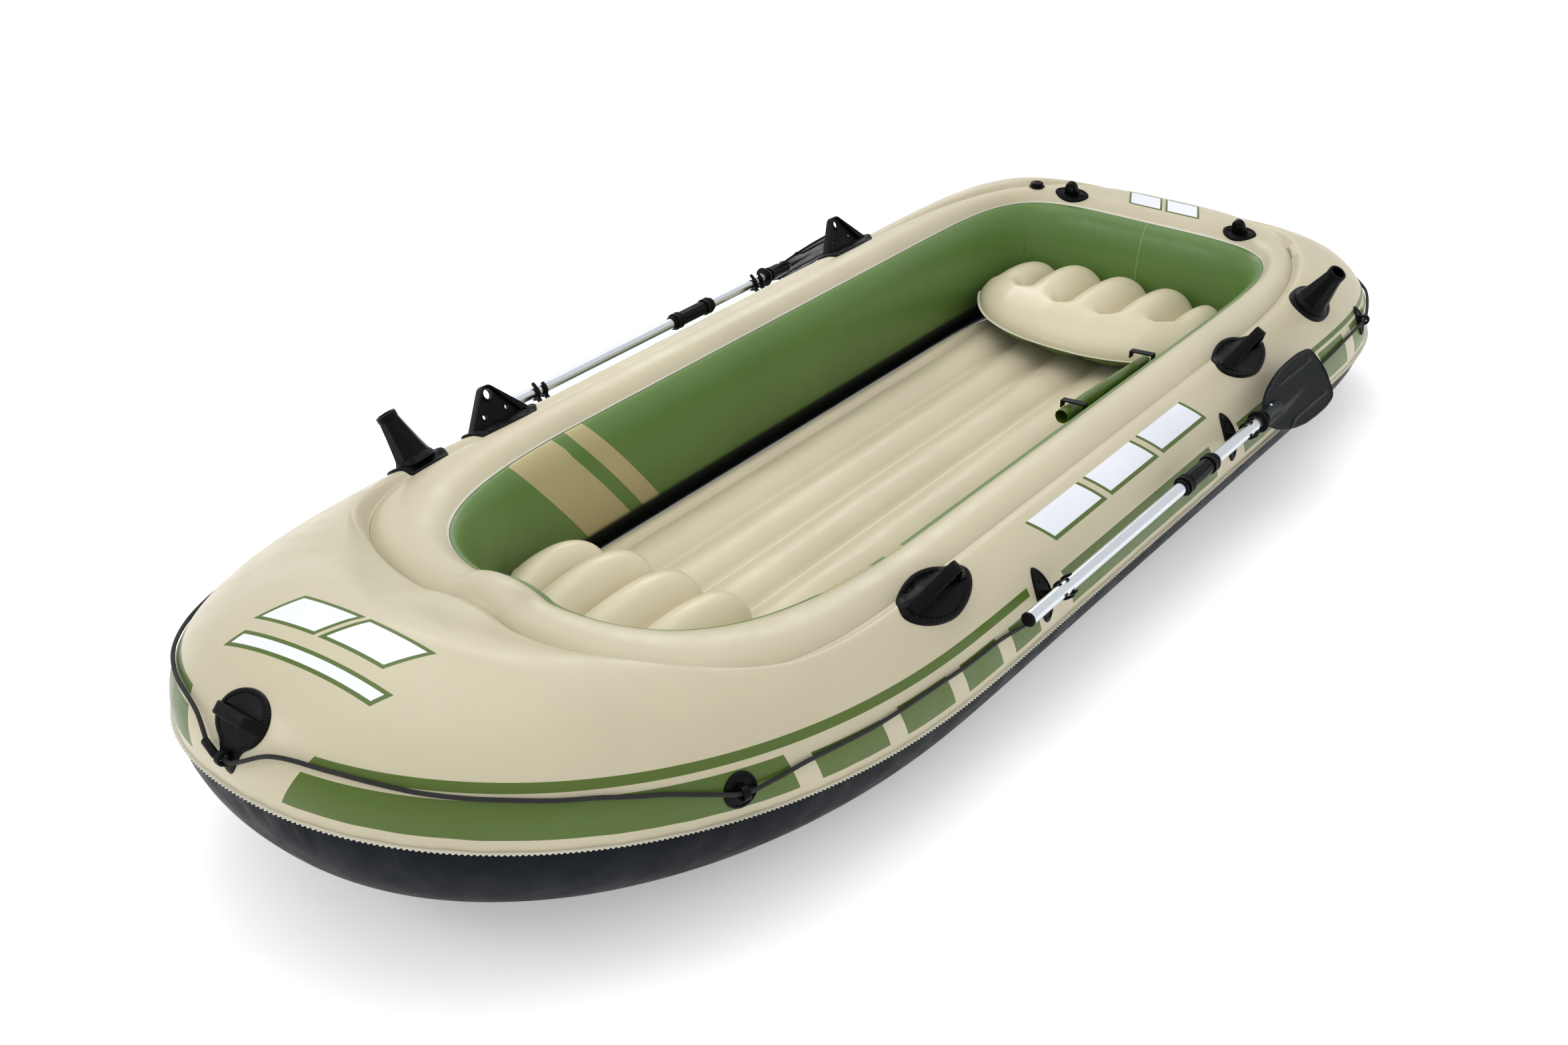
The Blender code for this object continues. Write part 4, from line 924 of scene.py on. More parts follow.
CUSHIONS = {"front": (0.605, (0.345, 0.420, 0.45)), "back": (-1.385, (0.368, 0.455, 0.34))}
CUSHION_SEAM_Z, CUSHION_UP, CUSHION_DOWN = 0.170, 0.094, 0.068


def cushion(label):
    """Five air lobes along the back edge that run out into a plain crowned front."""
    back_x, (half, deep, rounding) = CUSHIONS[label]
    columns, rows = 150, 64

    def plan(i, j):
        v = math.sin(0.5 * math.pi * (2 * i / columns - 1))
        t = 0.5 - 0.5 * math.cos(math.pi * j / rows)
        front = deep * (1 - rounding * abs(v) ** 2.4)
        back = 0.10 * abs(v) ** 5
        wave = abs(math.cos(math.pi * 2.5 * v))
        back += 0.030 * (1 - wave) ** 1.6 * (1 - abs(v) ** 8)
        squeeze = 1 - 0.5 * abs(v) ** 10
        x = back_x + 0.5 * (front + back) + (t - 0.5) * (front - back) * squeeze
        weld = abs((2.5 * v) % 1 - 0.5) / 2.5 * half
        reach = (0.93 if label == "front" else 0.74) - 0.10 * abs(v)
        cut = 1 - min(max((t - reach + 0.12) / 0.14, 0), 1)
        cut = cut * cut * (3 - 2 * cut)
        return x, half * v, t, abs(v), wave, weld if cut > 0.02 else 1.0, cut

    def lens(t, v):
        t = t ** 0.80
        return (4 * t * (1 - t)) ** 0.50 * (1 - v ** 4.5) ** 0.5

    def over(i, j):
        x, y, t, v, wave, weld, cut = plan(i, j)
        low = 1 - 0.80 * cut * (1 - wave ** 0.60) * (1 - v ** 12)
        soft = 0.0022 * noise.noise(Vector((x * 9, y * 9, 3.1)))
        z = CUSHION_SEAM_Z + (CUSHION_UP + soft) * lens(t, v) * low
        return Vector((x, y, z)), (weld, t, 1)

    def under(i, j):
        x, y, t, v, wave, weld, cut = plan(i, j)
        low = 1 - 0.45 * (1 - wave ** 0.62) * (1 - v ** 9)
        return Vector((x, y, CUSHION_SEAM_Z - CUSHION_DOWN * lens(t, v) * low)), (weld, t, -1)

    body = f"{label}_seat"
    name = f"{label}_cushion"
    obj = make(name + "_shell", body, cushion_material(name + "_skin"),
               [pillow(columns, rows, over, under)], [name], sharp=70)
    border = [(i, 0) for i in range(columns + 1)] + [(columns, j) for j in range(1, rows + 1)]
    border += [(i, rows) for i in range(columns - 1, -1, -1)] + [(0, j) for j in range(rows - 1, 0, -1)]
    edge = [over(i, j)[0] for i, j in border]
    edge = [Vector((p.x, p.y, CUSHION_SEAM_Z)) for p in edge]
    path = []
    for a, b, c in zip(edge[-1:] + edge[:-1], edge, edge[1:] + edge[:1]):
        along = c - a
        if along.length > 1e-6 and (not path or (b - path[-1][0]).length > 1e-4):
            path.append((b, Vector((along.y, -along.x, 0)).normalized()))
    strip = pinked(path, 0.0075, 0.0065, 0.0030, 0.006, 0.0014)
    make(name + "_seam", body, pvc(name + "_seam_pale", PALE).done(), [strip])


POUCH_FORE, POUCH_LONG, POUCH_Y, POUCH_TOP, POUCH_DROP = -0.310, 0.420, 0.380, 0.345, 0.010
ROLL_R, ROLL_WALL, ROLL_NARROWS = 0.0175, 0.0015, 0.0060
FLAP_LONG, FLAP_SHORTENS, FLAP_THICK = 0.085, 0.020, 0.0016


def pouch_roll(stations=60, around=40):
    """A tube that is open at both ends and narrows towards the stern."""
    points = []
    for wall in (0.0, ROLL_WALL):
        for i in range(stations + 1):
            t = i / stations
            x = POUCH_FORE - POUCH_LONG * t
            r = ROLL_R - wall - ROLL_NARROWS * t ** 1.5
            centre = Vector((x, POUCH_Y - 0.006, POUCH_TOP - 0.020 - POUCH_DROP * t))
            for j in range(around):
                a = 2 * math.pi * j / around
                slack = noise.noise(Vector((x * 26, math.cos(a) * 1.4, math.sin(a) * 1.4)))
                soft = 0.0 if wall else 0.0012 * slack
                points.append(centre + Vector((0, math.cos(a), math.sin(a))) * (r + soft))
    outer = len(points) // 2
    faces = grid_faces(stations + 1, around, False, True)
    inner = [tuple(k + outer for k in reversed(f)) for f in faces]
    rims = []
    for base in (0, stations * around):
        for j in range(around):
            k = (j + 1) % around
            ring = (base + j, base + k, outer + base + k, outer + base + j)
            rims.append(ring if base == 0 else tuple(reversed(ring)))
    return Shell(points, faces + inner + rims)


def pouch_flap(stations=60, down=16):
    """The slack sheet that hangs from the roll against the wall."""
    points = []
    for i in range(stations + 1):
        t = i / stations
        x = POUCH_FORE - 0.004 - (POUCH_LONG - 0.008) * t
        drop = FLAP_LONG - FLAP_SHORTENS * t
        for side in (0, 1):
            for j in range(down + 1):
                s = j / down if side == 0 else 1 - j / down
                wave = 0.006 * math.sin(5 * s + 2 * t)
                wave += 0.002 * noise.noise(Vector((x * 14, s * 3, 0)))
                y = POUCH_Y + 0.008 + wave * s - 0.010 * s + FLAP_THICK * side
                points.append(Vector((x, y, POUCH_TOP - 0.022 - POUCH_DROP * t - drop * s)))
    ring = 2 * (down + 1)
    ends = [tuple(range(ring)), tuple(reversed(range(stations * ring, (stations + 1) * ring)))]
    return Shell(points, grid_faces(stations + 1, ring, False, True) + ends)


def gear_pouch():
    m = pvc("pouch_green", GREEN, 0.34)
    m.bump(m.noise(28, 3, (1, 1, 1.5)), 0.0012, 0.7)
    obj = make("gear_pouch_roll", "pouch", m.done(), [pouch_roll(), pouch_flap()],
               ["gear_pouch"], sharp=60)


# ---- moulded fittings ------------------------------------------------------
# a fitting's place: how far in from the hull's widest line it sits on the skin
OARLOCK_IN, ROD_IN, MOTOR_IN, VALVE_IN = 0.106, 0.100, 0.272, 0.263
ROPE_GUIDE_IN, ROPE_EYE_IN, CLASP_IN, HANDLE_IN = 0.004, 0.014, 0.014, 0.042
MOTOR_OFF, VALVE_OFF = 0.309, -0.518                    # off the middle, at the stern
OARLOCKS, CLASPS = {"fore": 0.568, "aft": -0.780}, {"fore": 0.310, "aft": -0.542}
ROD_HOLDERS = {"fore": (0.837, -1), "aft": (-1.186, 1)}
ROPE_GUIDE_X, ROPE_EYE_X = 1.186, -1.372
EYE_REACH, EYE_HOLE, HANDLE_EYE = 0.0135, 0.0072, 0.066
UPRIGHT = Matrix.Rotation(math.pi / 2, 4, "X")
ACROSS = Matrix.Rotation(math.pi / 2, 4, "Z") @ UPRIGHT


def oval(long, short, power=2.0):
    """The radius of a superellipse at an angle."""
    def radius(angle):
        c, s = abs(math.cos(angle)) / long, abs(math.sin(angle)) / short
        return (c ** power + s ** power) ** (-1 / power)
    return radius


def pad(hull, matrix, radius_at, thick=0.0040, rim=0.0022, edge=0.90, ribs=0, segments=96):
    """A moulded patch that follows the skin, with a raised and ribbed rim."""
    shares = [0.0, 0.25, 0.5, 0.7, 0.79, 0.815, 0.84, 0.87, 0.90, 0.93, 0.95, 0.97, 0.985, 1.0]

    def height(share, angle):
        high = thick
        up = min(max((share - 0.79) / 0.05, 0), 1)
        high += rim * up * up * (3 - 2 * up)
        out = max((share - edge) / (1 - edge), 0)
        high *= math.sqrt(max(1 - out ** 2.4, 0)) if out else 1
        if ribs and 0.8 < share < 0.98:
            high += 0.0005 * math.cos(ribs * angle)
        return high

    base0 = hull.drop(matrix, 0, 0)
    over, under = [Vector((0, 0, base0 + height(0, 0)))], [Vector((0, 0, base0 - 0.002))]
    for share in shares[1:]:
        for i in range(segments):
            angle = 2 * math.pi * i / segments
            r = radius_at(angle) * share
            x, y = r * math.cos(angle), r * math.sin(angle)
            base = hull.drop(matrix, x, y)
            over.append(Vector((x, y, base + height(share, angle) - 0.0001)))
            under.append(Vector((x, y, base - 0.002)))
    count = len(over)
    faces = []
    for start, flip in ((0, False), (count, True)):
        for k in range(len(shares) - 1):
            for i in range(segments):
                j = (i + 1) % segments
                a, b = start + 1 + (k - 1) * segments, start + 1 + k * segments
                ring = (start, b + i, b + j) if k == 0 else (a + i, b + i, b + j, a + j)
                faces.append(tuple(reversed(ring)) if flip else ring)
    last = 1 + (len(shares) - 2) * segments
    for i in range(segments):
        j = (i + 1) % segments
        faces.append((last + i, count + last + i, count + last + j, last + j))
    return Shell(over + under, faces)


def fitting(name, body, hull, matrix, radius_at, extras, material, **style):
    shells = [pad(hull, matrix, radius_at, **style).moved(matrix)]
    shells += [shell.moved(matrix @ local) for shell, local in extras]
    return make(name + "_moulding", body, material, shells, [name])


def arch(reach, hole, width):
    outer = stood(rounded([(0, ROPE_OFF, reach), (-reach, 0, 0.001), (reach, 0, 0.001)]), 0.002)
    return plate([outer, circle(0, ROPE_OFF, hole, 24)], width, 0.0016)


def dome(radius, height, at):
    """A low round head, such as a rivet's."""
    loop = [(0, height), (radius * 0.55, height * 0.85), (radius * 0.9, height * 0.4), (radius, 0),
            (radius, -0.001), (0, -0.001)]
    return lathe(loop, 24), Matrix.Translation(at)


def oarlock(name, hull, x, side, material):
    matrix = hull.place(hull.section_near(x, side), OARLOCK_IN)
    half, high, top = 0.088, 0.090, 0.021
    outer = stood(rounded([(0, high - top, top), (-half, 0, 0.002), (half, 0, 0.002)]), 0.003)
    inner = stood(rounded([(0, high - top, top - 0.005), (-half + 0.022, 0, 0.001),
                           (half - 0.022, 0, 0.001)]), 0.0045)
    big = circle(0, high - top, 0.0125, 36)
    small = [circle(offset, 0.024, 0.0065, 24) for offset in (-0.034, 0.034)]
    web = stood(rounded([(0, high - top, top - 0.003), (-half + 0.01, 0, 0.002),
                         (half - 0.013, 0, 0.002)]), 0.002)
    strap = plate([outer, inner], 0.026, 0.0016)
    fin = plate([web, big] + small, 0.0065, 0.0010)
    boss = lathe([(0.0125, 0.0075), (0.0158, 0.0070), (0.0165, 0.0055), (0.0165, -0.0055),
                  (0.0158, -0.0070), (0.0125, -0.0075)], 40)
    rim = Matrix.Translation((0, 0, high - top)) @ UPRIGHT
    small_rims = [(lathe([(0.0062, 0.0048), (0.0088, 0.0044), (0.0092, 0), (0.0088, -0.0044),
                          (0.0062, -0.0048)], 28), Matrix.Translation((offset, 0, 0.024)) @ UPRIGHT)
                  for offset in (-0.034, 0.034)]
    fitting(name, "hull", hull, matrix, oval(0.112, 0.060, 1.75),
            [(strap, UPRIGHT), (fin, UPRIGHT), (boss, rim)] + small_rims, material, ribs=44,
            segments=176)


ROD_LEAN, ROD_HIGH, ROD_BORE = 0.10, 0.1238, 0.0175      # the lean in radians


def rod_holder(name, hull, x, side, material):
    matrix = hull.place(hull.section_near(x, side), ROD_IN)
    lean = Matrix.Rotation(ROD_LEAN, 4, "Y")
    high = ROD_HIGH
    mouth = lathe([(ROD_BORE, high), (0.0215, high), (0.0232, high - 0.0012), (0.0238, high - 0.004),
                   (0.0238, high - 0.013), (0.0228, high - 0.016), (ROD_BORE, high - 0.016)], 56)
    cone = lathe([(0.0178, high - 0.006), (0.0226, high - 0.010), (0.0285, 0.078), (0.0370, 0.034),
                  (0.0425, 0.012), (0.0440, 0.0010), (0.0178, 0.0010)], 8)
    turn = Matrix.Rotation(math.pi / 8, 4, "Z")
    root = lathe([(0.0, 0.022), (0.036, 0.020), (0.043, 0.012), (0.049, 0.001), (0.0, 0.001)], 48)
    fitting(name, "hull", hull, matrix, oval(0.074, 0.056, 2.2),
            [(mouth, lean), (cone, lean @ turn), (root, Matrix())], material, thick=0.0045)


def motor_mount(name, hull, side, material):
    matrix = hull.place(hull.section_near(HULL_PLAN[1], side, MOTOR_OFF * side), MOTOR_IN)
    outer = stood(rounded([(0, 0.027, 0.0175), (-0.0205, 0, 0.001), (0.0205, 0, 0.001)]), 0.002)
    lug = plate([outer, circle(0, 0.027, 0.0095, 32)], 0.018, 0.0020)
    ring = lathe([(0.0095, 0.0112), (0.0140, 0.0106), (0.0148, 0.0090), (0.0148, -0.0090),
                  (0.0140, -0.0106), (0.0095, -0.0112)], 36)
    fitting(name, "hull", hull, matrix, oval(0.052, 0.031, 1.85),
            [(lug, UPRIGHT), (ring, Matrix.Translation((0, 0, 0.027)) @ UPRIGHT),
             dome(0.006, 0.004, (0.034, 0, 0.003)), dome(0.006, 0.004, (-0.034, 0, 0.003))], material)


def rope_guide(name, hull, x, side, material):
    matrix = hull.place(hull.section_near(x, side), ROPE_GUIDE_IN)
    fitting(name, "hull", hull, matrix, oval(0.034, 0.034), [(arch(EYE_REACH, EYE_HOLE, 0.014), ACROSS)],
            material, thick=0.0035)


def rope_eye(name, hull, x, side, material):
    matrix = hull.place(hull.section_near(x, side), ROPE_EYE_IN)
    fitting(name, "hull", hull, matrix, oval(0.022, 0.042, 1.6), [(arch(EYE_REACH, EYE_HOLE, 0.012), ACROSS)],
            material, thick=0.0035)


def bow_handle(hull, material):
    section = hull.section_near(HULL_PLAN[2], 1, 0.0)
    point, normal = section.skin(HANDLE_IN)
    matrix = basis(point, (0, 1, 0), normal)

    def egg(angle):
        turn = math.atan2(math.sin(angle + math.pi / 2), math.cos(angle + math.pi / 2))
        return oval(0.062, 0.052)(angle) + 0.040 * math.exp(-((turn / 0.34) ** 2))

    out = stood(rounded([(-0.054, 0, 0.002), (0.054, 0, 0.002), (-0.030, 0.014, 0.017),
                         (0.030, 0.014, 0.017)]), 0.002)
    gap = stood(rounded([(-0.036, 0, 0.001), (0.036, 0, 0.001), (-0.027, 0.012, 0.0115),
                         (0.027, 0.012, 0.0115)]), 0.0045)
    strap = plate([out, gap], 0.022, 0.0030, 4)
    low = hull.drop(matrix, 0, -HANDLE_EYE)
    eye_place = Matrix.Translation((0, -HANDLE_EYE, low)) @ Matrix.Rotation(0.33, 4, "X") @ ACROSS
    fitting("bow_handle", "hull", hull, matrix, egg,
            [(strap, UPRIGHT), (arch(EYE_REACH, EYE_HOLE, 0.012), eye_place)], material, ribs=60,
            segments=240)
    return matrix @ eye_place @ Vector((0, ROPE_OFF, 0))


OAR_Y, OAR_Z, SHAFT_R = 0.745, 0.311, 0.0145


def oar_clasp(name, hull, x, side, material):
    matrix = hull.place(hull.section_near(x, side), CLASP_IN)
    centre = Vector((x, side * OAR_Y, OAR_Z))
    out = Vector((0, side * math.cos(0.70), math.sin(0.70)))
    cradle = basis(centre, out, (1, 0, 0) if side > 0 else (-1, 0, 0))
    local = matrix.inverted() @ cradle
    stem = (matrix.inverted() @ centre).length - 0.002
    inner, outer = SHAFT_R + 0.0010, SHAFT_R + 0.0066
    extras = [dome(0.0045, 0.0022, (0, side * 0.026, hull.drop(matrix, 0, side * 0.026) + 0.004)),
              dome(0.0045, 0.0022, (0, -side * 0.030, hull.drop(matrix, 0, -side * 0.030) + 0.004))]
    for offset, upper, lower in ((-0.013, 0.016, 0.007), (0.013, 0.007, 0.016)):
        outline = [(upper, outer)] + circle(0, 0, outer, 20, math.pi / 2, math.pi / 2 - 0.25)
        outline += [(-stem, 0.0050), (-stem, -0.0050)]
        outline += circle(0, 0, outer, 20, math.pi + 0.25, math.pi / 2 - 0.25)
        outline += [(lower, -outer), (lower + 0.0022, -outer + 0.0015), (lower + 0.0022, -inner - 0.0012)]
        outline += [(lower, -inner)] + circle(0, 0, inner, 30, -math.pi / 2, -math.pi)
        outline += [(upper, inner), (upper + 0.0022, inner + 0.0012), (upper + 0.0022, outer - 0.0015)]
        extras.append((plate([outline], 0.0095, 0.0014), local @ Matrix.Translation((0, 0, offset))))
    fitting(name, "hull", hull, matrix, oval(0.026, 0.062, 1.7), extras, material, thick=0.0035)


def stern_valve(hull, material):
    section = hull.section_near(HULL_PLAN[1], -1, VALVE_OFF)
    point, normal = section.skin(VALVE_IN)
    matrix = basis(point + normal * 0.0012, (1, 0, 0), normal)
    r, h = 0.0235, 0.012
    base = lathe([(0, h * 0.30), (r * 0.58, h * 0.30), (r * 0.58, h * 0.16), (r * 0.94, h * 0.12),
                  (r, 0.0004), (r, -0.003), (0, -0.003)], 48)
    make("stern_valve_base_turned", "hull", material, [base.moved(matrix)],
         ["stern_valve_base"])
    cap = lathe([(0, h * 0.92), (r * 0.30, h * 0.92), (r * 0.34, h), (r * 0.70, h), (r * 0.78, h * 0.90),
                 (r * 0.80, h * 0.80), (r * 0.80, h * 0.17), (r * 0.60, h * 0.17), (r * 0.60, h * 0.33),
                 (0, h * 0.33)], 96, (24, 0.0007, h * 0.16, h * 0.86))
    grip = plate([rounded([(-0.011, 0, 0.0022), (0.011, 0, 0.0022)])], 0.0040, 0.0010)
    make("stern_valve_cap_turned", "stern_valve_lid", material,
         [cap.moved(matrix), grip.moved(matrix @ Matrix.Translation((0, 0, h * 0.92)))],
         ["stern_valve_cap"])


# ---- oars ------------------------------------------------------------------
GRIP_X, SLEEVE_FORE, SLEEVE_AFT, SLEEVE_R = 0.452, -0.189, -0.352, 0.0185
COLLAR_R, COLLAR_LONG, COLLAR_IN = 0.0225, 0.022, 0.010
DRIP_X, SOCKET_X, SOCKET_LONG, SOCKET_R, SHAFT_END_X = -0.583, -0.606, 0.090, 0.0190, -0.670
SHAFT_WALL, GAP = 0.0014, 0.0003
BLADE_OUTLINE = ((0.000, 0.018), (0.020, 0.033), (0.040, 0.045), (0.065, 0.055), (0.105, 0.066),
                 (0.150, 0.074), (0.205, 0.077), (0.260, 0.077), (0.305, 0.071), (0.322, 0.061),
                 (0.330, 0.045), (0.334, 0.018))
BLADE_LONG = 0.334


def along_x(side, x):
    return basis((x, side * OAR_Y, OAR_Z), (0, 0, 1), (-1, 0, 0))


def tube_loop(inner, outer, low, high, soft=0.0004):
    """A tube's section with its outer edges broken."""
    return [(outer, high - soft), (outer, low + soft), (outer - soft, low), (inner, low),
            (inner, high), (outer - soft, high)]


def blade_half(x):
    """The blade's half width at x from its root."""
    for (ax, ah), (bx, bh) in zip(BLADE_OUTLINE, BLADE_OUTLINE[1:]):
        if x <= bx:
            t = (x - ax) / (bx - ax)
            return ah + (bh - ah) * t
    return BLADE_OUTLINE[-1][1]


def blade_shell():
    """Spade-shaped paddle with a raised rim, a middle ridge and two side ribs on each face."""
    rows, columns = 96, 72
    points = []
    for face in (1, -1):
        for i in range(rows + 1):
            t = 0.5 - 0.5 * math.cos(math.pi * i / rows)
            x = BLADE_LONG * t
            half = sum(blade_half(min(max(x + k * 0.004, 0), BLADE_LONG)) for k in (-2, -1, 0, 1, 2)) / 5
            half *= math.sqrt(max(1 - max((x - 0.318) / 0.0162, 0) ** 2.2, 0.02))
            for j in range(columns + 1):
                v = math.sin(0.5 * math.pi * (2 * j / columns - 1))
                y = half * v
                side = (1 - abs(v)) * half
                tip = BLADE_LONG - x
                rim = 0.0018 * smooth(0.0075, 0.0045, min(side, tip)) * smooth(0.0, 0.03, x)
                width = 0.0135 * (1 - 0.75 * smooth(0.05, 0.25, x))
                ridge = 0.0095 * (1 - smooth(0.02, 0.26, x)) * math.exp(-(y / width) ** 2)
                lane = 0.045 + 0.012 * smooth(0.125, 0.075, x)
                rib = 0.0032 * math.exp(-((abs(y) - lane) / 0.0030) ** 2)
                rib *= smooth(0.070, 0.090, x) * smooth(0.300, 0.285, x)
                thick = 0.0019 * math.sqrt(max(1 - abs(v) ** 14, 0)) + rim + ridge + rib
                if i in (0, rows) or j in (0, columns):
                    thick = 0.0008
                points.append(Vector((x, y, face * thick + 0.006 * (x / BLADE_LONG) ** 2)))
    grid = grid_faces(rows + 1, columns + 1)
    count = (rows + 1) * (columns + 1)
    faces = grid + [tuple(k + count for k in reversed(f)) for f in grid]
    border = [j for j in range(columns + 1)] + [i * (columns + 1) + columns for i in range(1, rows + 1)]
    border += [rows * (columns + 1) + j for j in range(columns - 1, -1, -1)]
    border += [i * (columns + 1) for i in range(rows - 1, 0, -1)]
    for a, b in zip(border, border[1:] + border[:1]):
        faces.append((b, a, a + count, b + count))
    return Shell(points, faces)


def collar_shell():
    """A twist collar: a ring with grip flutes between two plain bands."""
    r, bore, high, band = COLLAR_R, SLEEVE_R + 2 * GAP + 0.0004, COLLAR_LONG, 0.0050
    loop = [(r - 0.0012, 0), (r, 0.001), (r, band), (r - 0.0004, band + 0.0004),
            (r - 0.0004, high - band - 0.0004), (r, high - band), (r, high - 0.001),
            (r - 0.0012, high), (bore, high), (bore, 0)]
    return lathe(loop, 144, (24, 0.0013, band + 0.0002, high - band - 0.0002))


def oar(prefix, side, black, silver, dark):
    joint = (SLEEVE_FORE + SLEEVE_AFT) / 2
    bore = SHAFT_R - SHAFT_WALL
    whole, blade_body = f"{prefix}_oar", f"{prefix}_oar_blade_half"
    pieces = {
        "end_cap": (whole, black, GRIP_X, lathe(
            [(0, 0.016), (bore - GAP, 0.016), (bore - GAP, -GAP), (SHAFT_R + 0.001, -GAP),
             (SHAFT_R + 0.0012, -0.004), (SHAFT_R, -0.006), (SHAFT_R - 0.004, -0.0072), (0, -0.0078)])),
        "lower_shaft": (whole, silver, GRIP_X, lathe(tube_loop(bore, SHAFT_R, 0, GRIP_X - joint - GAP))),
        "upper_shaft": (blade_body, silver, joint, lathe(tube_loop(bore, SHAFT_R, 0, joint - SHAFT_END_X))),
        "sleeve": (whole, black, SLEEVE_FORE, lathe(
            [(SLEEVE_R, 0.001), (SLEEVE_R, 0.034), (SLEEVE_R + 0.0006, 0.036), (SLEEVE_R + 0.0006, 0.127),
             (SLEEVE_R, 0.129), (SLEEVE_R, 0.162), (SLEEVE_R - 0.001, 0.163), (SHAFT_R + GAP, 0.163),
             (SHAFT_R + GAP, 0.0), (SLEEVE_R - 0.001, 0.0)], 96, (12, 0.0012, 0.035, 0.128))),
        "fore_collar": (f"{prefix}_fore_collar", black, SLEEVE_FORE - COLLAR_IN, collar_shell()),
        "aft_collar": (f"{prefix}_aft_collar", black, SLEEVE_AFT + COLLAR_IN + COLLAR_LONG,
                       collar_shell()),
        "drip_ring": (f"{prefix}_drip_ring", black, DRIP_X, lathe(
            [(0.0185, 0.014), (0.0200, 0.0130), (0.0262, 0.0058), (0.0272, 0.0035), (0.0268, 0.0008),
             (0.0240, 0.0), (SHAFT_R + GAP, 0.0), (SHAFT_R + GAP, 0.014)])),
    }
    for piece, (body, material, x, shell) in pieces.items():
        name = f"{prefix}_oar_{piece}"
        make(name + "_turned", body, material, [shell.moved(along_x(side, x))], [name])
    face = Vector((0, side * math.sin(0.94), math.cos(0.94)))
    down = Vector((0, side * math.cos(0.94), -math.sin(0.94)))
    root = Vector((SOCKET_X - 0.010, side * OAR_Y, OAR_Z)) + down * 0.007
    deep = SOCKET_X - SHAFT_END_X + 0.002
    socket = lathe([(SHAFT_R + GAP, 0.0), (SOCKET_R - 0.0008, 0.0), (SOCKET_R + 0.0010, 0.0010),
                    (SOCKET_R + 0.0010, 0.0080), (SOCKET_R, 0.0095), (SOCKET_R - 0.0006, 0.072),
                    (SOCKET_R - 0.0040, SOCKET_LONG - 0.004), (SOCKET_R - 0.0090, SOCKET_LONG + 0.002),
                    (0, SOCKET_LONG + 0.003), (0, deep), (SHAFT_R + GAP, deep)], 56)
    name = f"{prefix}_oar_blade"
    make(name + "_moulding", blade_body, dark,
         [socket.moved(along_x(side, SOCKET_X)), blade_shell().moved(basis(root, (-1, 0, 0), face))],
         [name], sharp=45)
    button = lathe([(0, 0.0068), (0.0020, 0.0066), (0.0034, 0.0056), (0.0038, 0.0040),
                    (0.0038, -0.004), (0, -0.004)], 32)
    name = f"{prefix}_oar_button"
    make(name + "_turned", f"{prefix}_lock_button", silver,
         [button.moved(basis((SOCKET_X - 0.045, side * OAR_Y, OAR_Z + SHAFT_R), (1, 0, 0), (0, 0, 1)))],
         [name])


# ---- the grab line ---------------------------------------------------------
ROPE_ROUTE = ((1.742, 24.0, 1), (1.712, 26.0, 3), (1.588, 23.0, 3), (1.416, 21.3, 2),
              (1.314, 18.0, 2), (1.186, 10.5, 3), (0.983, 15.8, 3), (0.708, 18.3, 2),
              (0.479, 17.0, 1), (0.380, 14.0, 2), (-0.610, 14.0, 1), (-0.900, 17.5, 4),
              (-1.372, 20.0, 4), (-1.580, 22.0, 6))     # outline's x, degrees up from it, steps
ROPE_STERN = 24.0
ROPE_LIFTS = (1.757, 1.186, 0.310, -0.542, -1.372)      # it stands off the skin at its fittings
ROPE_SKIN = 0.0058


def rope_stretch(hull, side):
    """The rope's points on one side, from the bow to the stern."""
    ring = hull.outline
    half = [i for i in range(len(ring)) if ring[i][1] * side >= 0]
    where = [(min(half, key=lambda i: abs(ring[i][0] - x)), degrees, steps)
             for x, degrees, steps in ROPE_ROUTE]
    where.append((len(ring) // 2, ROPE_STERN, 1))
    points = []
    for (a, angle_a, steps), (b, angle_b, _) in zip(where, where[1:]):
        for k in range(steps):
            t = k / steps
            section = hull.near(round(a + (b - a) * t))
            angle = math.radians(angle_a + (angle_b - angle_a) * (3 - 2 * t) * t * t)
            point, normal = section.skin(section.reach * (1 - math.cos(angle)))
            lift = max(math.exp(-((point.x - at) / 0.055) ** 2) for at in ROPE_LIFTS)
            points.append(point + normal * (ROPE_SKIN + (ROPE_OFF - ROPE_SKIN) * lift))
    return points


def softened(points, step):
    """A smooth line through the points, at about equal steps."""
    out = []
    for i in range(len(points) - 1):
        a, b = points[i], points[i + 1]
        before = points[i - 1] if i else a
        after = points[i + 2] if i + 2 < len(points) else b
        reach = (b - a).length
        ta = (b - before).normalized() * reach
        tb = (after - a).normalized() * reach
        count = max(1, round(reach / step))
        for k in range(count):
            t = k / count
            h = (2 * t ** 3 - 3 * t ** 2 + 1, t ** 3 - 2 * t ** 2 + t,
                 -2 * t ** 3 + 3 * t ** 2, t ** 3 - t ** 2)
            out.append(a * h[0] + ta * h[1] + b * h[2] + tb * h[3])
    return out + [points[-1]]


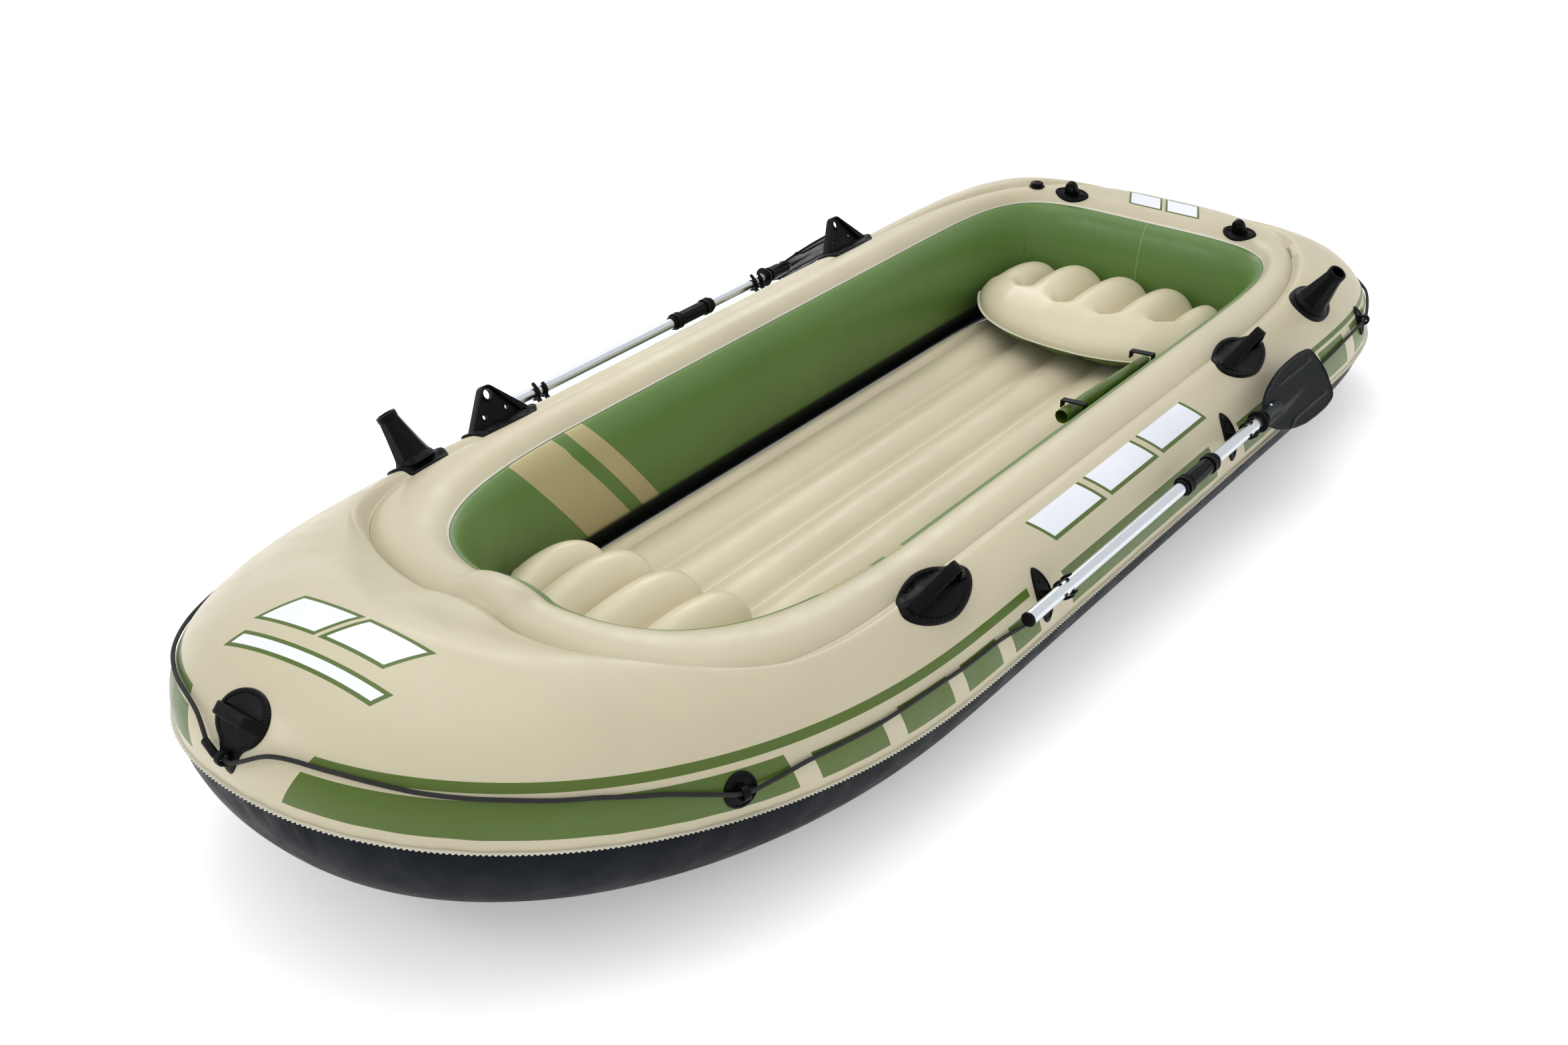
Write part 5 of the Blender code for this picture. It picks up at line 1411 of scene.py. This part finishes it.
def grab_line(hull, eye, black):
    """A braided rope all round the hull, through its guides, with both ends at the bow eye."""
    port, starboard = rope_stretch(hull, 1), rope_stretch(hull, -1)
    starboard.reverse()
    start = eye + Vector((0, -0.022, 0))
    end = starboard[-1].lerp(eye + Vector((0, -0.034, 0)), 0.85)
    route = [start, eye, eye + Vector((0, 0.022, 0))] + port + starboard + [end]
    path = softened(route, 0.0024)
    around = 16
    points, lay, gone = [], [], 0.0
    side = Vector((0, 0, 1))
    for i, spot in enumerate(path):
        gone += (spot - path[i - 1]).length if i else 0
        along = (path[min(i + 1, len(path) - 1)] - path[max(i - 1, 0)]).normalized()
        side = (side - along * side.dot(along)).normalized()
        up = along.cross(side)
        for j in range(around):
            a = 2 * math.pi * j / around
            weave = max(math.sin(4 * a + 575 * gone), math.sin(4 * a - 575 * gone))
            r = ROPE_R * (0.97 + 0.07 * weave)
            points.append(spot + (side * math.cos(a) + up * math.sin(a)) * r)
            lay.append((gone, a, 0))
    count = len(path)
    faces = grid_faces(count, around, False, True)
    faces += [tuple(range(around)), tuple(reversed(range((count - 1) * around, count * around)))]
    rope = make("grab_line_braid", "hull", rope_material(), [Shell(points, faces, lay)],
                ["grab_line"], sharp=0)
    # a moulded sleeve joins the rope's two ends beside the eye
    axis = (end - start).normalized()
    long, r = (end - start).length + 0.020, 0.0074
    sleeve = lathe([(0, long), (r * 0.72, long), (r, long - 0.003), (r, 0.003), (r * 0.72, 0), (0, 0)], 32)
    ferrule = make("grab_line_ferrule", "hull", black,
                   [sleeve.moved(basis(start - axis * 0.008, (0, 0, 1), axis))])


def kept_nodes(black):
    """Hooks whose CAD shape is right get a better material only."""
    for name in ("pouch_hook_fore", "pouch_hook_aft"):
        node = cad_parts[name]
        for slot in node.material_slots:
            slot.material = black


def main():
    make_camera()
    studio()
    hull = Hull()
    build_hull(hull)
    black, silver = plastic("moulded_black"), metal("anodised_silver")
    dark = plastic("blade_black", BLADE, 0.34)
    eye = bow_handle(hull, black)
    grab_line(hull, eye, black)
    floor_mat()
    bottom_sheet()
    for label in CUSHIONS:
        cushion(label)
    gear_pouch()
    for side, label in ((1, "port"), (-1, "starboard")):
        for end, x in OARLOCKS.items():
            oarlock(f"{end}_oarlock_{label}", hull, x, side, black)
        motor_mount(f"motor_mount_{label}", hull, side, black)
        rope_guide(f"rope_guide_{label}", hull, ROPE_GUIDE_X, side, black)
        rope_eye(f"rope_eye_{label}", hull, ROPE_EYE_X, side, black)
        for end, x in CLASPS.items():
            oar_clasp(f"{end}_oar_clasp_{label}", hull, x, side, black)
        oar(label, side, black, silver, dark)
    for end, (x, side) in ROD_HOLDERS.items():
        rod_holder(f"rod_holder_{end}", hull, x, side, black)
    stern_valve(hull, black)
    kept_nodes(black)


main()
